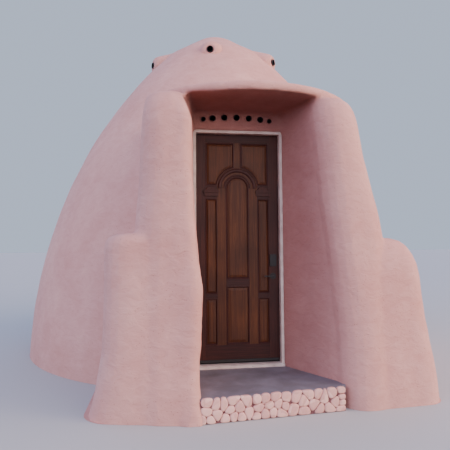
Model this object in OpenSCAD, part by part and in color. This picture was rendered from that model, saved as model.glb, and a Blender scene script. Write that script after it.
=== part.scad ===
// Small domed adobe house with a recessed porch between two stepped piers.
// Millimetres. The dome's axis is Z, the ground is z = 0 and the door faces -Y.

/* [Dome] */
// Outer radius of the dome at ground level
base_r = 2785; // [2600:5:2900]
// Radius of the curve that the dome's outside follows as it rises
profile_r = 6790; // [6600:10:7000]
// How far below the ground the centre of that curve lies
profile_drop = 275; // [200:5:350]
// Thickness of the earth wall
wall_t = 400; // [340:5:430]
// Height of the dome's upper ring, from the hood's underside to the joint under the cap
upper_ring_h = 1190; // [1120:5:1230]
// How far inside the cap's foot its flat cone starts
cone_set_in = 353; // [320:1:390]
// Slope of the cap's cone in degrees
cone_slope = 34; // [30:1:37]
// Radius of the rounded tip
tip_r = 600; // [450:10:700]
// Height of the flat ceiling above the joint under the cap
ceiling_h = 450; // [400:5:490]

/* [Floors] */
// Top of the floor and of the porch slab
floor_z = 205; // [180:5:230]
// Depth of the cobbled step in front of the porch slab
riser_t = 90; // [80:5:120]
// Left end of the step's front line, along X
riser_left_x = -527; // [-540:1:-510]
// How far the left end of the step's front line lies in front of the door frame
riser_left_out = 940; // [920:1:955]
// Right end of the step's front line, along X
riser_right_x = 733; // [710:1:745]
// How far the right end of the step's front line lies in front of the door frame
riser_right_out = 820; // [800:1:835]

/* [Entry] */
// How far the door frame's outer face lies inside the dome's foot
frame_set_in = 145; // [125:1:165]
// How far the wall beside the frame stands out past it, front and back
reveal = 12; // [6:1:20]
// Distance from the door's axis to the left side of the passage inside
pass_left = 640; // [620:5:680]
// Distance from the door's axis to the right side of the passage inside
pass_right = 460; // [440:5:500]
// Height of the wall between the door frame and the hood
head_wall_h = 198; // [180:1:230]

/* [Left pier] */
// How far the pier's inner front corner stands out in front of the door frame
left_front_out = 960; // [950:1:970]
// How much the front falls back per millimetre away from the door
left_front_slope = 0.2; // [0.15:0.01:0.25]
// Radius of the inner front corner
left_nose_r = 90; // [70:5:110]
// Radius of the outer front corner
left_corner_r = 220; // [180:5:240]
// Height of the lower step beside the pier
left_shoulder_z = 1595; // [1550:5:1640]

/* [Right pier] */
// How far the pier's inner front corner stands out in front of the door frame
right_front_out = 865; // [855:1:875]
// How much the front falls back per millimetre away from the door
right_front_slope = 0.075; // [0.05:0.005:0.1]
// Radius of the inner front corner
right_nose_r = 250; // [220:5:260]
// Radius of the outer front corner
right_corner_r = 200; // [180:5:220]
// Height of the lower step beside the pier
right_shoulder_z = 1540; // [1500:5:1600]

/* [Hood] */
// Radius of the round slab over the porch
hood_r = 1285; // [1265:5:1300]
// Centre of the slab along X
hood_x = 50; // [30:5:70]
// How far the slab's centre lies behind the door frame's outer face
hood_back = 550; // [530:5:570]
// Thickness of the slab's rim
hood_t = 85; // [75:1:100]
// Slope of the slab's top in degrees
hood_slope = 10; // [6:1:14]
// Rounding of the slab's rim
hood_edge_r = 22; // [15:1:30]

/* [Pipes] */
// Outer diameter of the five middle pipes over the door
pipe_d = 65; // [60:1:70]
// Outer diameter of the two end pipes
end_pipe_d = 50; // [45:1:55]
// Wall of the pipes over the door
pipe_wall = 4; // [3:0.5:5]
// Distance between the middle pipe over the door and the next ones
pipe_pitch = 133; // [128:1:136]
// How far the middle pipe over the door lies below the hood
pipe_drop = 63; // [55:1:75]
// Radius of the arc that the pipes over the door follow
pipe_arc_r = 2400; // [2000:100:2600]
// How far a pipe over the door stands out of the wall
pipe_proud = 6; // [3:1:12]
// Outer diameter of the vent pipes under the cap
vent_d = 89; // [80:1:95]
// Wall of the vent pipes
vent_wall = 4.5; // [3:0.5:6]
// Height of the vent pipes above the joint under the cap
vent_rise = 210; // [190:5:240]
// How far the vents' mouths lie inside the cap's foot
vent_set_in = 103; // [85:1:120]
// Length of the vent pipes
vent_len = 700; // [680:5:750]
// Turn of the front vent away from the door side, in degrees
vent_turn = -10.5; // [-14:0.5:-8]

/* [Door] */
// Width of the door leaf
leaf_w = 914; // [900:1:930]
// Height of the door leaf
leaf_h = 2438; // [2420:1:2445]
// Thickness of the door leaf
leaf_t = 44; // [40:1:48]
// Hinge edge of the leaf along X
leaf_x = -530; // [-535:1:-525]
// Gap between the leaf and what it closes against
leaf_gap = 5; // [5:0.5:6]
// Gap between the leaf's free edge and the lock jamb
lock_gap = 7; // [6:0.5:8]
// Width of the two stiles
stile_w = 110; // [100:1:120]
// Height of the bottom rail
bottom_rail_h = 180; // [160:1:200]
// Height of the top rail
top_rail_h = 94; // [84:1:104]
// Width of the members beside the arched panel
mullion_w = 92; // [84:1:100]
// Half the width of the arched panel
arch_r = 127; // [118:1:132]
// How far the arch's centre lies below the leaf's top
arch_drop = 588; // [560:1:620]
// Width of the short upright over the arch
crown_w = 63; // [55:1:75]
// Thickness of the panels where they sit in the frame
panel_t = 20; // [16:1:24]
// How far the raised fields stand out on each side
field_t = 7; // [5:1:9]
// Width of the slope around each raised field
field_edge = 30; // [24:1:34]

/* [Frame] */
// Thickness of the jambs
jamb_t = 19; // [17:1:22]
// Depth of the jambs
jamb_d = 116; // [110:1:125]
// How far the stop stands out of the jamb
stop_t = 12; // [10:1:15]
// Height of the sill
sill_h = 32; // [28:1:36]
// How far the sill stands out in front of the jambs
sill_proud = 25; // [15:1:30]
// Height of the dark strip on the sill
strip_h = 6; // [5:1:8]

/* [Hardware] */
// Distance from the leaf's free edge to the lever's centre
backset = 72; // [68:1:76]
// Level of the lever
lever_z = 1150; // [1140:1:1165]
// Level of the deadbolt
bolt_z = 1320; // [1310:1:1330]
// Radius of the lever's round plates
rose_r = 33; // [30:1:36]
// Length of the lever from its centre
lever_len = 104; // [95:1:115]
// Radius of the lever's spindle
spindle_r = 8; // [7:0.5:9]
// Height of each hinge
hinge_h = 100; // [90:1:110]
// Radius of the hinge barrels
barrel_r = 7; // [6:0.5:8]
// Radius of the hinge pins
pin_r = 3; // [2.5:0.5:3.5]

/* [Hidden] */

plaster = "#d9a79b";
lit_plaster = "#e3b3a4";
concrete = "#8b8684";
mahogany = "#4a2418";
light_mahogany = "#6b3a20";
frame_white = "#e6dfd8";
black_metal = "#1c1b1b";
pipe_black = "#2a2526";
steel = "#a9a6a0";

// Drawing fineness of round shapes
dome_fn = 180;
round_fn = 48;
fine_fn = 96;
corner_steps = 5;

// Number of the pier ring's point where the passage meets the back of the frame's seat
pass_corner = 2 * corner_steps + 4;

// Small overreach that lets a cut run past the face it opens
past = 1;
// Joint left between a pier and the round wall behind it
pier_joint = 0.3;
// Dry joint left where a course of the dome or the hood lies on the wall below it
bed_joint = 0.02;

// The doorway, in plan
frame_front_y = frame_set_in - base_r;
frame_back_y = frame_front_y + jamb_d;
wall_front_y = frame_front_y - reveal;
wall_back_y = frame_back_y + reveal * 2;
frame_left = -(leaf_x - leaf_gap - jamb_t);
frame_right = leaf_x + leaf_w + lock_gap + jamb_t;
room_side_y = frame_front_y + 1440;
slab_joint_y = frame_back_y - reveal;

// The door leaf
leaf_in_y = frame_back_y;
leaf_out_y = leaf_in_y - leaf_t;
leaf_mid_y = (leaf_in_y + leaf_out_y) / 2;
sill_top = floor_z + sill_h;
sill_step = 4;
sweep_h = 28;
sweep_t = 8;
sweep_gap = 2;
leaf_z = sill_top + strip_h + leaf_gap + sweep_gap;
head_z = leaf_z + leaf_h + leaf_gap;
frame_top_z = head_z + jamb_t;
stop_back_y = leaf_out_y - leaf_gap;
arch_u = leaf_w / 2;
arch_v = leaf_h - arch_drop;
arch_outer_r = arch_r + mullion_w;
mullion_u = arch_u - arch_outer_r;
field_inner_v = 670;
side_rail_h = 48;
centre_rail_v = 800;
centre_rail_h = 70;
capital_drop = 115;
capital_v = arch_v - capital_drop;
capital_h = 142;

// Levels of the dome
soffit_z = frame_top_z + head_wall_h;
cap_z = soffit_z + upper_ring_h;
ceiling_z = cap_z + ceiling_h;

// The dome's profile
profile_c = sqrt(profile_r * profile_r - profile_drop * profile_drop) - base_r;
inner_profile_r = profile_r - wall_t;
cap_foot_r = sqrt(pow(profile_r, 2) - pow(cap_z + profile_drop, 2)) - profile_c;
cone_foot_r = cap_foot_r - cone_set_in;
cone_foot_z = sqrt(pow(profile_r, 2) - pow(cone_foot_r + profile_c, 2)) - profile_drop;
tip_join_r = tip_r * sin(cone_slope);
tip_join_z = cone_foot_z + (cone_foot_r - tip_join_r) * tan(cone_slope);
tip_centre_z = tip_join_z - tip_r * cos(cone_slope);
course_count = 20;
course_h = soffit_z / course_count;
ring_turn = 45;
wedge_steps = 14;
wedge_near = 5;
wedge_far = 45;
front_turn = -90;

// The hinges
pin_x = leaf_x - leaf_gap / 2;
barrel_gap = 1;
pin_y = leaf_in_y + barrel_r + barrel_gap;
plate_t = 2.4;
plate_d = 26;
knuckle_gap = 0.5;
pin_gap = 0.05;
knuckle_clear = 1;
knuckle_share = 0.34;
knuckle_low = hinge_h * knuckle_share;
knuckle_high = hinge_h - knuckle_low;
hinge_count = 4;
hinge_foot = 180;
hinge_head = 178;
hinge_pitch = (leaf_h - hinge_foot - hinge_head) / (hinge_count - 1);
hinge_v = [for (i = [0 : hinge_count - 1]) hinge_foot + i * hinge_pitch];

// The locks
lock_x = leaf_x + leaf_w - backset;
rose_t = 10;
rose_gap = 0.4;
bore_clear = 4;
neck_r = 10;
neck_len = 34;
lever_h = 18;
lever_t = 11;
bolt_w = 69;
bolt_h = 131;
bolt_t = 22;
bolt_corner_r = 14;
turn_r = 6;
turn_len = 34;
turn_out = 16;

// How far the left pier's foot stands back from the frame's edge
foot_ease = 3;

// Where the hood's two ends are cut off straight, as distances from the door's axis
hood_left_end = 1045;
hood_right_end = 1000;

// The piers, given as [level, distance from the door's axis]
left_inner = [[0, frame_left + foot_ease], [500, frame_left + foot_ease], [1100, 538],
              [1560, 578], [2080, 612], [soffit_z - 270, 622], [soffit_z, 640]];
left_outer = [[0, 1140], [1573, 1125], [2050, 1092], [soffit_z - 332, 1066],
              [soffit_z, hood_left_end]];
left_step = [[0, 1560], [100, 1505], [200, 1467], [360, 1428], [605, 1405], [855, 1395],
             [left_shoulder_z, 1400]];
right_inner = [[0, 750], [700, 750], [soffit_z - 210, 552], [soffit_z, 532]];
right_outer = [[0, 1270], [1540, 1235], [1700, 1209], [2100, 1120],
               [soffit_z - 510, 1050], [soffit_z - 270, 1028], [soffit_z, 1035]];
right_step = [[0, 1775], [250, 1728], [500, 1690], [745, 1655], [1080, 1625],
              [right_shoulder_z, 1615]];
batter = 0.05;
left_front_y = frame_front_y - left_front_out;
right_front_y = frame_front_y - right_front_out;
pier_back_y = frame_front_y + 1090;
step_back_y = frame_front_y + 740;
left_step_inner = 900;
right_step_inner = 1020;
step_set_back = 12;
top_round_h = 320;
nose_share = 0.5;
corner_share = 0.45;

// How far each pier's top draws in at its inner side, its outer side and its front
left_top_round = [20, 40, 230];
right_top_round = [60, 150, 150];

// Rounded edge of each lower step, given as its height and its depth
left_step_round = [120, 110];
right_step_round = [380, 230];

// Levels at which the piers and the lower steps are drawn
pier_shares = [0.17, 0.27, 0.38, 0.46, 0.54, 0.63, 0.71, 0.8, 0.89];
pier_top_drops = [220, 140, 80, 40, 15];
pier_levels = concat([-past, floor_z], [for (s = pier_shares) s * soffit_z],
                     [for (d = pier_top_drops) soffit_z - d], [soffit_z, soffit_z + past]);
step_shares = [0.35, 0.5, 0.64, 0.76, 0.84, 0.9, 0.95, 0.985, 1];
step_top_back_share = 0.6;

// The step's front line and the hood
riser_left_y = frame_front_y - riser_left_out;
riser_right_y = frame_front_y - riser_right_out;
hood_y = frame_front_y + hood_back;

// The pipes over the door and the vents
pipe_places = [0, 1, 1.94, 2.69];
pipe_mid_x = -88;
pipe_z = soffit_z - pipe_drop;
last_pipe = len(pipe_places) - 1;
vent_count = 6;
vent_z = cap_z + vent_rise;
vent_reach = cap_foot_r - vent_set_in;
vent_inner_end = vent_reach - vent_len;
stub_len = 300;
stub_set_back = 10;
stub_inner_end = vent_reach - stub_set_back - stub_len;
stub_root_r = 190;
stub_mouth_r = 130;
stub_lip_t = 50;
stub_lip_r = 80;

// Distance that a rounded top has drawn in at level z; it starts h below the top
function drawn_in(z, top, h, a) =
    z <= top - h ? 0 : a * (1 - sqrt(max(0, 1 - pow((z - top + h) / h, 2))));

// Front face of a pier at level z and distance u from the door's axis
function front_y(y0, u0, slope, u, z) =
    y0 + slope * (u - u0) + batter * max(0, z - floor_z);

// One level of a pier: inner corner, outer corner, back, and the passage and frame seats
function pier_ring(z, inner, outer, y0, slope, nose_r, corner_r, top_round, frame_u, pass_u) =
    let (u0 = inner[0][1],
         set_in = drawn_in(z, soffit_z, top_round_h, 1),
         ui = lookup(z, inner) + set_in * top_round[0],
         uo = lookup(z, outer) - set_in * top_round[1],
         back = set_in * top_round[2],
         near_r = min(nose_r, (uo - ui) * nose_share),
         far_r = min(corner_r, (uo - ui) * corner_share))
    concat(
        [for (i = [0 : corner_steps])
            let (a = 90 * i / corner_steps, u = ui + near_r * (1 - cos(a)))
            [u, front_y(y0, u0, slope, u, z) + back + near_r * (1 - sin(a))]],
        [for (i = [0 : corner_steps])
            let (a = 90 - 90 * i / corner_steps, u = uo - far_r * (1 - cos(a)))
            [u, front_y(y0, u0, slope, u, z) + back + far_r * (1 - sin(a))]],
        [[uo, pier_back_y], [pass_u, pier_back_y], [pass_u, wall_back_y],
         [frame_u, wall_back_y], [frame_u, wall_front_y]]);

// Levels of the lower step beside a pier
function step_heights(top) = concat([0, floor_z], [for (s = step_shares) s * top]);

// One level of the lower step beside a pier, from inside the pier's front out to its corner
function step_ring(z, top, round_ha, inner, outer, y0, u0, slope, corner_r) =
    let (set_in = drawn_in(z, top, round_ha[0], round_ha[1]),
         uo = lookup(z, outer) - set_in,
         back = step_set_back + set_in * step_top_back_share)
    concat(
        [[inner, front_y(y0, u0, slope, inner, z) + back]],
        [for (i = [0 : corner_steps])
            let (a = 90 - 90 * i / corner_steps, u = uo - corner_r * (1 - cos(a)))
            [u, front_y(y0, u0, slope, u, z) + back + corner_r * (1 - sin(a))]],
        [[uo, step_back_y], [inner, step_back_y]]);

function left_ring(z) = pier_ring(z, left_inner, left_outer, left_front_y, left_front_slope,
                                  left_nose_r, left_corner_r, left_top_round, frame_left,
                                  pass_left);
function right_ring(z) = pier_ring(z, right_inner, right_outer, right_front_y,
                                   right_front_slope, right_nose_r, right_corner_r,
                                   right_top_round, frame_right, pass_right);

// Solid through a stack of rings that have the same number of points. The foot and the head
// are closed from the ring point with the number hub, which has to see all the others.
module loft(levels, rings, hub) {
    n = len(rings[0]);
    m = len(rings);
    points = [for (k = [0 : m - 1]) for (p = rings[k]) [p[0], p[1], levels[k]]];
    sides = [for (k = [0 : m - 2]) for (i = [0 : n - 1])
        let (j = (i + 1) % n, a = k * n + i, b = k * n + j, c = a + n, d = b + n)
        each [[a, c, b], [b, c, d]]];
    top = (m - 1) * n;
    foot = [for (k = [1 : n - 2]) [hub, (hub + k) % n, (hub + k + 1) % n]];
    head = [for (f = foot) [top + f[0], top + f[2], top + f[1]]];
    polyhedron(points, concat(sides, foot, head), convexity = 6);
}

// Distance of the dome's curve from the axis at level z
function dome_r(r, z) = sqrt(r * r - pow(z + profile_drop, 2)) - profile_c;

// Half section of the dome's mass inside a curve, between two levels; the wall is laid in
// level courses, so the curve runs straight from one course joint to the next
module dome_section(r, z0, z1) {
    courses = floor((sqrt(r * r - profile_c * profile_c) - profile_drop) / course_h);
    intersection() {
        polygon(concat(
            [[0, -course_h], [dome_r(r, 0), -course_h]],
            [for (i = [0 : courses]) [dome_r(r, i * course_h), i * course_h]],
            [[0, courses * course_h]]));
        translate([0, z0]) square([base_r + wall_t, z1 - z0]);
    }
}

// Solid mass of the dome inside a curve, between two levels
module dome_mass(r, z0, z1) {
    rotate_extrude($fn = dome_fn) dome_section(r, z0, z1);
}

// Outer radius at course joint k; past the foot and the soffit the last slope runs straight on
function course_r(k) =
    k < 0 ? 2 * dome_r(profile_r, 0) - dome_r(profile_r, course_h)
    : k > course_count ? 2 * dome_r(profile_r, soffit_z) - dome_r(profile_r, soffit_z - course_h)
    : dome_r(profile_r, k * course_h);

// Flat-sided wedge of the same mass, just clear of it, that a pier is cut back against. It has
// no ring at the pier's own foot and head, where the slope runs through.
module dome_wedge(from, to) {
    step = (to - from) / wedge_steps;
    joints = concat([-1], [for (k = [1 : course_count - 1]) k], [course_count + 1]);
    loft([for (k = joints) k * course_h], [for (k = joints)
        let (r = (course_r(k) + pier_joint) / cos(step / 2))
        concat([[0, 0]],
               [for (i = [0 : wedge_steps]) [r * cos(from + step * i), r * sin(from + step * i)]])],
         0);
}

// Section of the wall itself
module wall_section(z0, z1) {
    difference() {
        dome_section(profile_r, z0, z1);
        dome_section(inner_profile_r, z0 - past, z1 + past);
    }
}

// One piece of the round wall, from one turn to another
module wall_piece(z0, z1, from, turn) {
    rotate([0, 0, from])
        rotate_extrude(angle = turn, $fn = dome_fn)
            wall_section(z0, z1);
}

// Plan of everything left open for the porch, the door frame and the passage
module entry_plan() {
    polygon([
        [-pass_left, room_side_y],
        [-pass_left, wall_back_y],
        [-frame_left, wall_back_y],
        [-frame_left, wall_front_y],
        [-left_inner[0][1], left_front_y + left_nose_r],
        [right_inner[0][1], right_front_y + right_nose_r],
        [frame_right, wall_front_y],
        [frame_right, wall_back_y],
        [pass_right, wall_back_y],
        [pass_right, room_side_y]
    ]);
}

module entry_cut() {
    translate([0, 0, -past])
        linear_extrude(soffit_z + 2 * past)
            entry_plan();
}

// Level plan of a band along the step, from a depth before its front line to one behind it
module step_band(before, behind) {
    slope = (riser_right_y - riser_left_y) / (riser_right_x - riser_left_x);
    left_end = riser_left_x - wall_t / 2;
    right_end = riser_right_x + wall_t / 2;
    left_end_y = riser_left_y + slope * (left_end - riser_left_x);
    right_end_y = riser_left_y + slope * (right_end - riser_left_x);
    polygon([
        [left_end, left_end_y - before],
        [right_end, right_end_y - before],
        [right_end, right_end_y + behind],
        [left_end, left_end_y + behind]
    ]);
}

module pier_plans() {
    polygon(right_ring(0));
    mirror([1, 0]) polygon(left_ring(0));
}

// The whole round slab
module hood_disc() {
    rise = hood_r * tan(hood_slope);
    translate([hood_x, hood_y, soffit_z])
        rotate_extrude($fn = dome_fn)
            union() {
                polygon([
                    [0, 0],
                    [hood_r - hood_edge_r, 0],
                    [hood_r - hood_edge_r, hood_t],
                    [0, hood_t + rise]
                ]);
                translate([hood_r - 2 * hood_edge_r, hood_edge_r])
                    square([2 * hood_edge_r, hood_t - 2 * hood_edge_r]);
                for (level = [hood_edge_r, hood_t - hood_edge_r])
                    translate([hood_r - hood_edge_r, level])
                        circle(r = hood_edge_r, $fn = round_fn);
            }
}

// The slab with its ends cut off over the piers
module hood_mass() {
    intersection() {
        hood_disc();
        translate([-hood_left_end, -2 * base_r, soffit_z - past])
            cube([hood_left_end + hood_right_end, 2 * base_r, cap_z - soffit_z]);
    }
}

module cap_outside() {
    rotate_extrude($fn = dome_fn)
        intersection() {
            dome_section(profile_r, cap_z + bed_joint, cone_foot_z + tip_r);
            union() {
                polygon([
                    [0, 0],
                    [base_r, 0],
                    [base_r, cone_foot_z - (base_r - cone_foot_r) * tan(cone_slope)],
                    [tip_join_r, tip_join_z],
                    [0, tip_join_z]
                ]);
                translate([0, tip_centre_z]) circle(r = tip_r, $fn = fine_fn);
            }
        }
}

// Lays a shape that is drawn along +Z out along each vent's line
module at_vents() {
    for (i = [0 : vent_count - 1])
        rotate([0, 0, front_turn + vent_turn + i * 360 / vent_count])
            translate([0, 0, vent_z])
                rotate([0, 90, 0])
                    children();
}

module vent_bores(r) {
    at_vents()
        translate([0, 0, vent_inner_end - past])
            cylinder(r = r, h = vent_len + 2 * past, $fn = round_fn);
}

function pipe_step(i) = pipe_places[abs(i)] * pipe_pitch;
function pipe_x(i) = pipe_mid_x + sign(i) * pipe_step(i);
function pipe_level(i) = pipe_z + sqrt(pow(pipe_arc_r, 2) - pow(pipe_step(i), 2)) - pipe_arc_r;
function pipe_radius(i) = (abs(i) == last_pipe ? end_pipe_d : pipe_d) / 2;

// One cylinder along Y for each pipe over the door
module pipe_rods(thinner, proud) {
    for (i = [-last_pipe : last_pipe])
        translate([pipe_x(i), wall_front_y - proud, pipe_level(i)])
            rotate([-90, 0, 0])
                cylinder(r = pipe_radius(i) - thinner, h = wall_back_y - wall_front_y + 2 * proud,
                         $fn = round_fn);
}

module floor_slab() {
    color(concrete)
        union() {
            dome_mass(inner_profile_r, 0, floor_z);
            linear_extrude(floor_z)
                intersection() {
                    entry_plan();
                    translate([-base_r, slab_joint_y]) square([2 * base_r, room_side_y - slab_joint_y]);
                }
        }
}

module porch_slab() {
    color(concrete)
        linear_extrude(floor_z)
            difference() {
                union() {
                    intersection() {
                        entry_plan();
                        translate([-base_r, -2 * base_r])
                            square([2 * base_r, slab_joint_y + 2 * base_r]);
                    }
                    step_band(0, riser_t + right_nose_r);
                }
                step_band(wall_t, riser_t);
                pier_plans();
            }
}

module porch_step() {
    color(lit_plaster)
        linear_extrude(floor_z)
            difference() {
                step_band(0, riser_t);
                pier_plans();
            }
}

module ring_wall(i) {
    color(plaster)
        wall_piece(0, soffit_z, front_turn + ring_turn * i, ring_turn);
}

module front_right_wall() {
    color(plaster)
        difference() {
            ring_wall(0);
            entry_cut();
        }
}

module front_left_wall() {
    color(plaster)
        difference() {
            ring_wall(7);
            entry_cut();
        }
}

module dome_quarter(i) {
    color(plaster)
        wall_piece(soffit_z + bed_joint, cap_z, front_turn + 2 * ring_turn * i - ring_turn,
                   2 * ring_turn);
}

module dome_front() {
    color(plaster)
        difference() {
            dome_quarter(0);
            hood_mass();
        }
}

module dome_cap() {
    color(plaster)
        difference() {
            cap_outside();
            dome_mass(inner_profile_r, cap_z - past, ceiling_z);
            vent_bores(vent_d / 2);
        }
}

module vent_stubs() {
    color(plaster)
        difference() {
            at_vents()
                translate([0, 0, stub_inner_end]) {
                    cylinder(r1 = stub_root_r, r2 = stub_mouth_r,
                             h = stub_len - stub_lip_t, $fn = round_fn);
                    translate([0, 0, stub_len - stub_lip_t])
                        cylinder(r1 = stub_mouth_r, r2 = stub_lip_r,
                                 h = stub_lip_t, $fn = round_fn);
                }
            cap_outside();
            vent_bores(vent_d / 2);
        }
}

module vent_pipes() {
    color(pipe_black)
        at_vents()
            translate([0, 0, vent_inner_end])
                difference() {
                    cylinder(d = vent_d, h = vent_len, $fn = round_fn);
                    translate([0, 0, -past])
                        cylinder(d = vent_d - 2 * vent_wall, h = vent_len + 2 * past,
                                 $fn = round_fn);
                }
}

module right_pier_mass() {
    loft(pier_levels, [for (z = pier_levels) right_ring(z)], pass_corner);
}

module left_pier_mass() {
    loft(pier_levels, [for (z = pier_levels) left_ring(z)], pass_corner);
}

// Everything between the ground and the underside of the hood
module pier_block() {
    translate([-base_r, -2 * base_r, 0])
        cube([2 * base_r, 2 * base_r, soffit_z]);
}

module right_pier() {
    color(plaster)
        difference() {
            intersection() {
                right_pier_mass();
                pier_block();
            }
            dome_wedge(front_turn + wedge_near, front_turn + wedge_far);
        }
}

module left_pier() {
    color(lit_plaster)
        difference() {
            intersection() {
                mirror([1, 0, 0]) left_pier_mass();
                pier_block();
            }
            dome_wedge(front_turn - wedge_far, front_turn - wedge_near);
        }
}

module right_buttress() {
    heights = step_heights(right_shoulder_z);
    color(plaster)
        difference() {
            loft(heights, [for (z = heights)
                step_ring(z, right_shoulder_z, right_step_round, right_step_inner, right_step,
                          right_front_y, right_inner[0][1], right_front_slope, right_corner_r)], 0);
            right_pier_mass();
            dome_mass(profile_r + pier_joint, -past, cap_z);
        }
}

module left_buttress() {
    heights = step_heights(left_shoulder_z);
    color(lit_plaster)
        difference() {
            mirror([1, 0, 0])
                loft(heights, [for (z = heights)
                    step_ring(z, left_shoulder_z, left_step_round, left_step_inner, left_step,
                              left_front_y, left_inner[0][1], left_front_slope,
                              left_corner_r)], 0);
            mirror([1, 0, 0]) left_pier_mass();
            dome_mass(profile_r + pier_joint, -past, cap_z);
        }
}

module porch_hood() {
    color(lit_plaster)
        difference() {
            hood_mass();
            dome_mass(inner_profile_r, 0, cap_z);
            translate([-base_r, -2 * base_r, soffit_z - past])
                cube([2 * base_r, 2 * base_r, past + bed_joint]);
        }
}

module door_head_wall() {
    color(plaster)
        difference() {
            translate([-frame_left, wall_front_y, frame_top_z])
                cube([frame_left + frame_right, wall_back_y - wall_front_y, soffit_z - frame_top_z]);
            pipe_rods(0, past + pipe_proud);
        }
}

module transom_pipes() {
    color(pipe_black)
        difference() {
            pipe_rods(0, pipe_proud);
            pipe_rods(pipe_wall, pipe_proud + past);
        }
}

// A side jamb with its stop, drawn with its outer face at x = 0 and the opening towards +X
module side_jamb() {
    translate([0, frame_front_y, sill_top])
        cube([jamb_t, jamb_d, head_z - sill_top]);
    translate([jamb_t - past, frame_front_y, sill_top])
        cube([stop_t + past, stop_back_y - frame_front_y, head_z - sill_top]);
}

module hinge_jamb() {
    color(frame_white)
        difference() {
            translate([-frame_left, 0, 0]) side_jamb();
            for (v = hinge_v) jamb_plate(v);
        }
}

module lock_jamb() {
    color(frame_white)
        translate([frame_right, 0, 0]) mirror([1, 0, 0]) side_jamb();
}

module head_jamb() {
    color(frame_white)
        union() {
            translate([-frame_left, frame_front_y, head_z])
                cube([frame_left + frame_right, jamb_d, jamb_t]);
            translate([-frame_left + jamb_t + stop_t, frame_front_y, head_z - stop_t])
                cube([frame_left + frame_right - 2 * (jamb_t + stop_t),
                      stop_back_y - frame_front_y, stop_t + past]);
        }
}

module door_sill() {
    color(frame_white)
        translate([-frame_left, frame_front_y, floor_z])
            union() {
                cube([frame_left + frame_right, jamb_d, sill_h]);
                translate([0, -sill_proud, 0])
                    cube([frame_left + frame_right, sill_proud + past, sill_h - sill_step]);
            }
}

module sill_strip() {
    color(black_metal)
        translate([-frame_left + jamb_t + stop_t, stop_back_y, sill_top])
            cube([frame_left + frame_right - 2 * (jamb_t + stop_t),
                  frame_back_y - stop_back_y, strip_h]);
}

// Hinge plate let into the jamb
module jamb_plate(v) {
    translate([leaf_x - leaf_gap - plate_t, pin_y - plate_d, leaf_z + v])
        cube([plate_t, plate_d, hinge_h]);
}

// Hinge plate let into the edge of the leaf
module leaf_plate(v) {
    translate([leaf_x, pin_y - plate_d, leaf_z + v])
        cube([plate_t, plate_d, hinge_h]);
}

// A length of hinge barrel, given as its first and last third
module barrel(v, from, to, r) {
    translate([pin_x, pin_y, leaf_z + v + from])
        cylinder(r = r, h = to - from, $fn = round_fn);
}

module frame_hinges() {
    color(steel)
        for (v = hinge_v)
            union() {
                difference() {
                    union() {
                        jamb_plate(v);
                        barrel(v, 0, knuckle_low, barrel_r);
                        barrel(v, knuckle_high, hinge_h, barrel_r);
                    }
                    barrel(v, knuckle_low, knuckle_high, barrel_r + knuckle_clear);
                }
                barrel(v, 0, hinge_h, pin_r);
            }
}

module door_hinges() {
    color(steel)
        for (v = hinge_v)
            difference() {
                union() {
                    leaf_plate(v);
                    barrel(v, knuckle_low + knuckle_gap, knuckle_high - knuckle_gap, barrel_r);
                }
                barrel(v, -past, knuckle_low + knuckle_gap, barrel_r + knuckle_clear);
                barrel(v, knuckle_high - knuckle_gap, hinge_h + past, barrel_r + knuckle_clear);
                barrel(v, -past, hinge_h + past, pin_r + pin_gap);
            }
}

// A flat piece of the leaf: a drawing in width and height, given its thickness
module in_leaf(thickness) {
    translate([leaf_x, leaf_mid_y + thickness / 2, leaf_z])
        rotate([90, 0, 0])
            linear_extrude(thickness)
                children();
}

module arch_disc(r) {
    translate([arch_u, arch_v]) circle(r = r, $fn = fine_fn);
}

module hinge_stile() {
    color(mahogany)
        difference() {
            in_leaf(leaf_t) square([stile_w, leaf_h]);
            for (v = hinge_v) leaf_plate(v);
        }
}

module lock_bore(z) {
    translate([lock_x, leaf_out_y - past, z])
        rotate([-90, 0, 0])
            cylinder(r = spindle_r + bore_clear, h = leaf_t + 2 * past, $fn = round_fn);
}

module lock_stile() {
    color(mahogany)
        difference() {
            in_leaf(leaf_t) translate([leaf_w - stile_w, 0]) square([stile_w, leaf_h]);
            lock_bore(lever_z);
        }
}

module top_rail() {
    color(mahogany)
        in_leaf(leaf_t)
            translate([stile_w, leaf_h - top_rail_h])
                square([leaf_w - 2 * stile_w, top_rail_h]);
}

module bottom_rail() {
    color(mahogany)
        in_leaf(leaf_t)
            translate([stile_w, 0])
                square([leaf_w - 2 * stile_w, bottom_rail_h]);
}

// Draws a shape on the left half of the leaf and again on the right half
module both_sides() {
    children();
    translate([leaf_w, 0]) mirror([1, 0]) children();
}

module cross_rails() {
    color(mahogany)
        in_leaf(leaf_t) {
            both_sides() {
                translate([stile_w, field_inner_v])
                    square([mullion_u - stile_w, side_rail_h]);
                difference() {
                    translate([stile_w, capital_v])
                        square([mullion_u - stile_w + mullion_w / 2, capital_h]);
                    arch_disc(arch_outer_r);
                    translate([mullion_u, 0]) square([mullion_w, arch_v]);
                }
            }
            translate([arch_u - arch_r, centre_rail_v]) square([2 * arch_r, centre_rail_h]);
        }
}

module mullions() {
    color(mahogany)
        in_leaf(leaf_t) {
            both_sides()
                translate([mullion_u, bottom_rail_h])
                    square([mullion_w, arch_v - bottom_rail_h]);
            difference() {
                translate([arch_u - crown_w / 2, arch_v])
                    square([crown_w, leaf_h - top_rail_h - arch_v]);
                arch_disc(arch_outer_r);
            }
        }
}

module door_arch() {
    color(mahogany)
        in_leaf(leaf_t)
            difference() {
                arch_disc(arch_outer_r);
                arch_disc(arch_r);
                translate([0, arch_v - leaf_w]) square([leaf_w, leaf_w]);
            }
}

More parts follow.
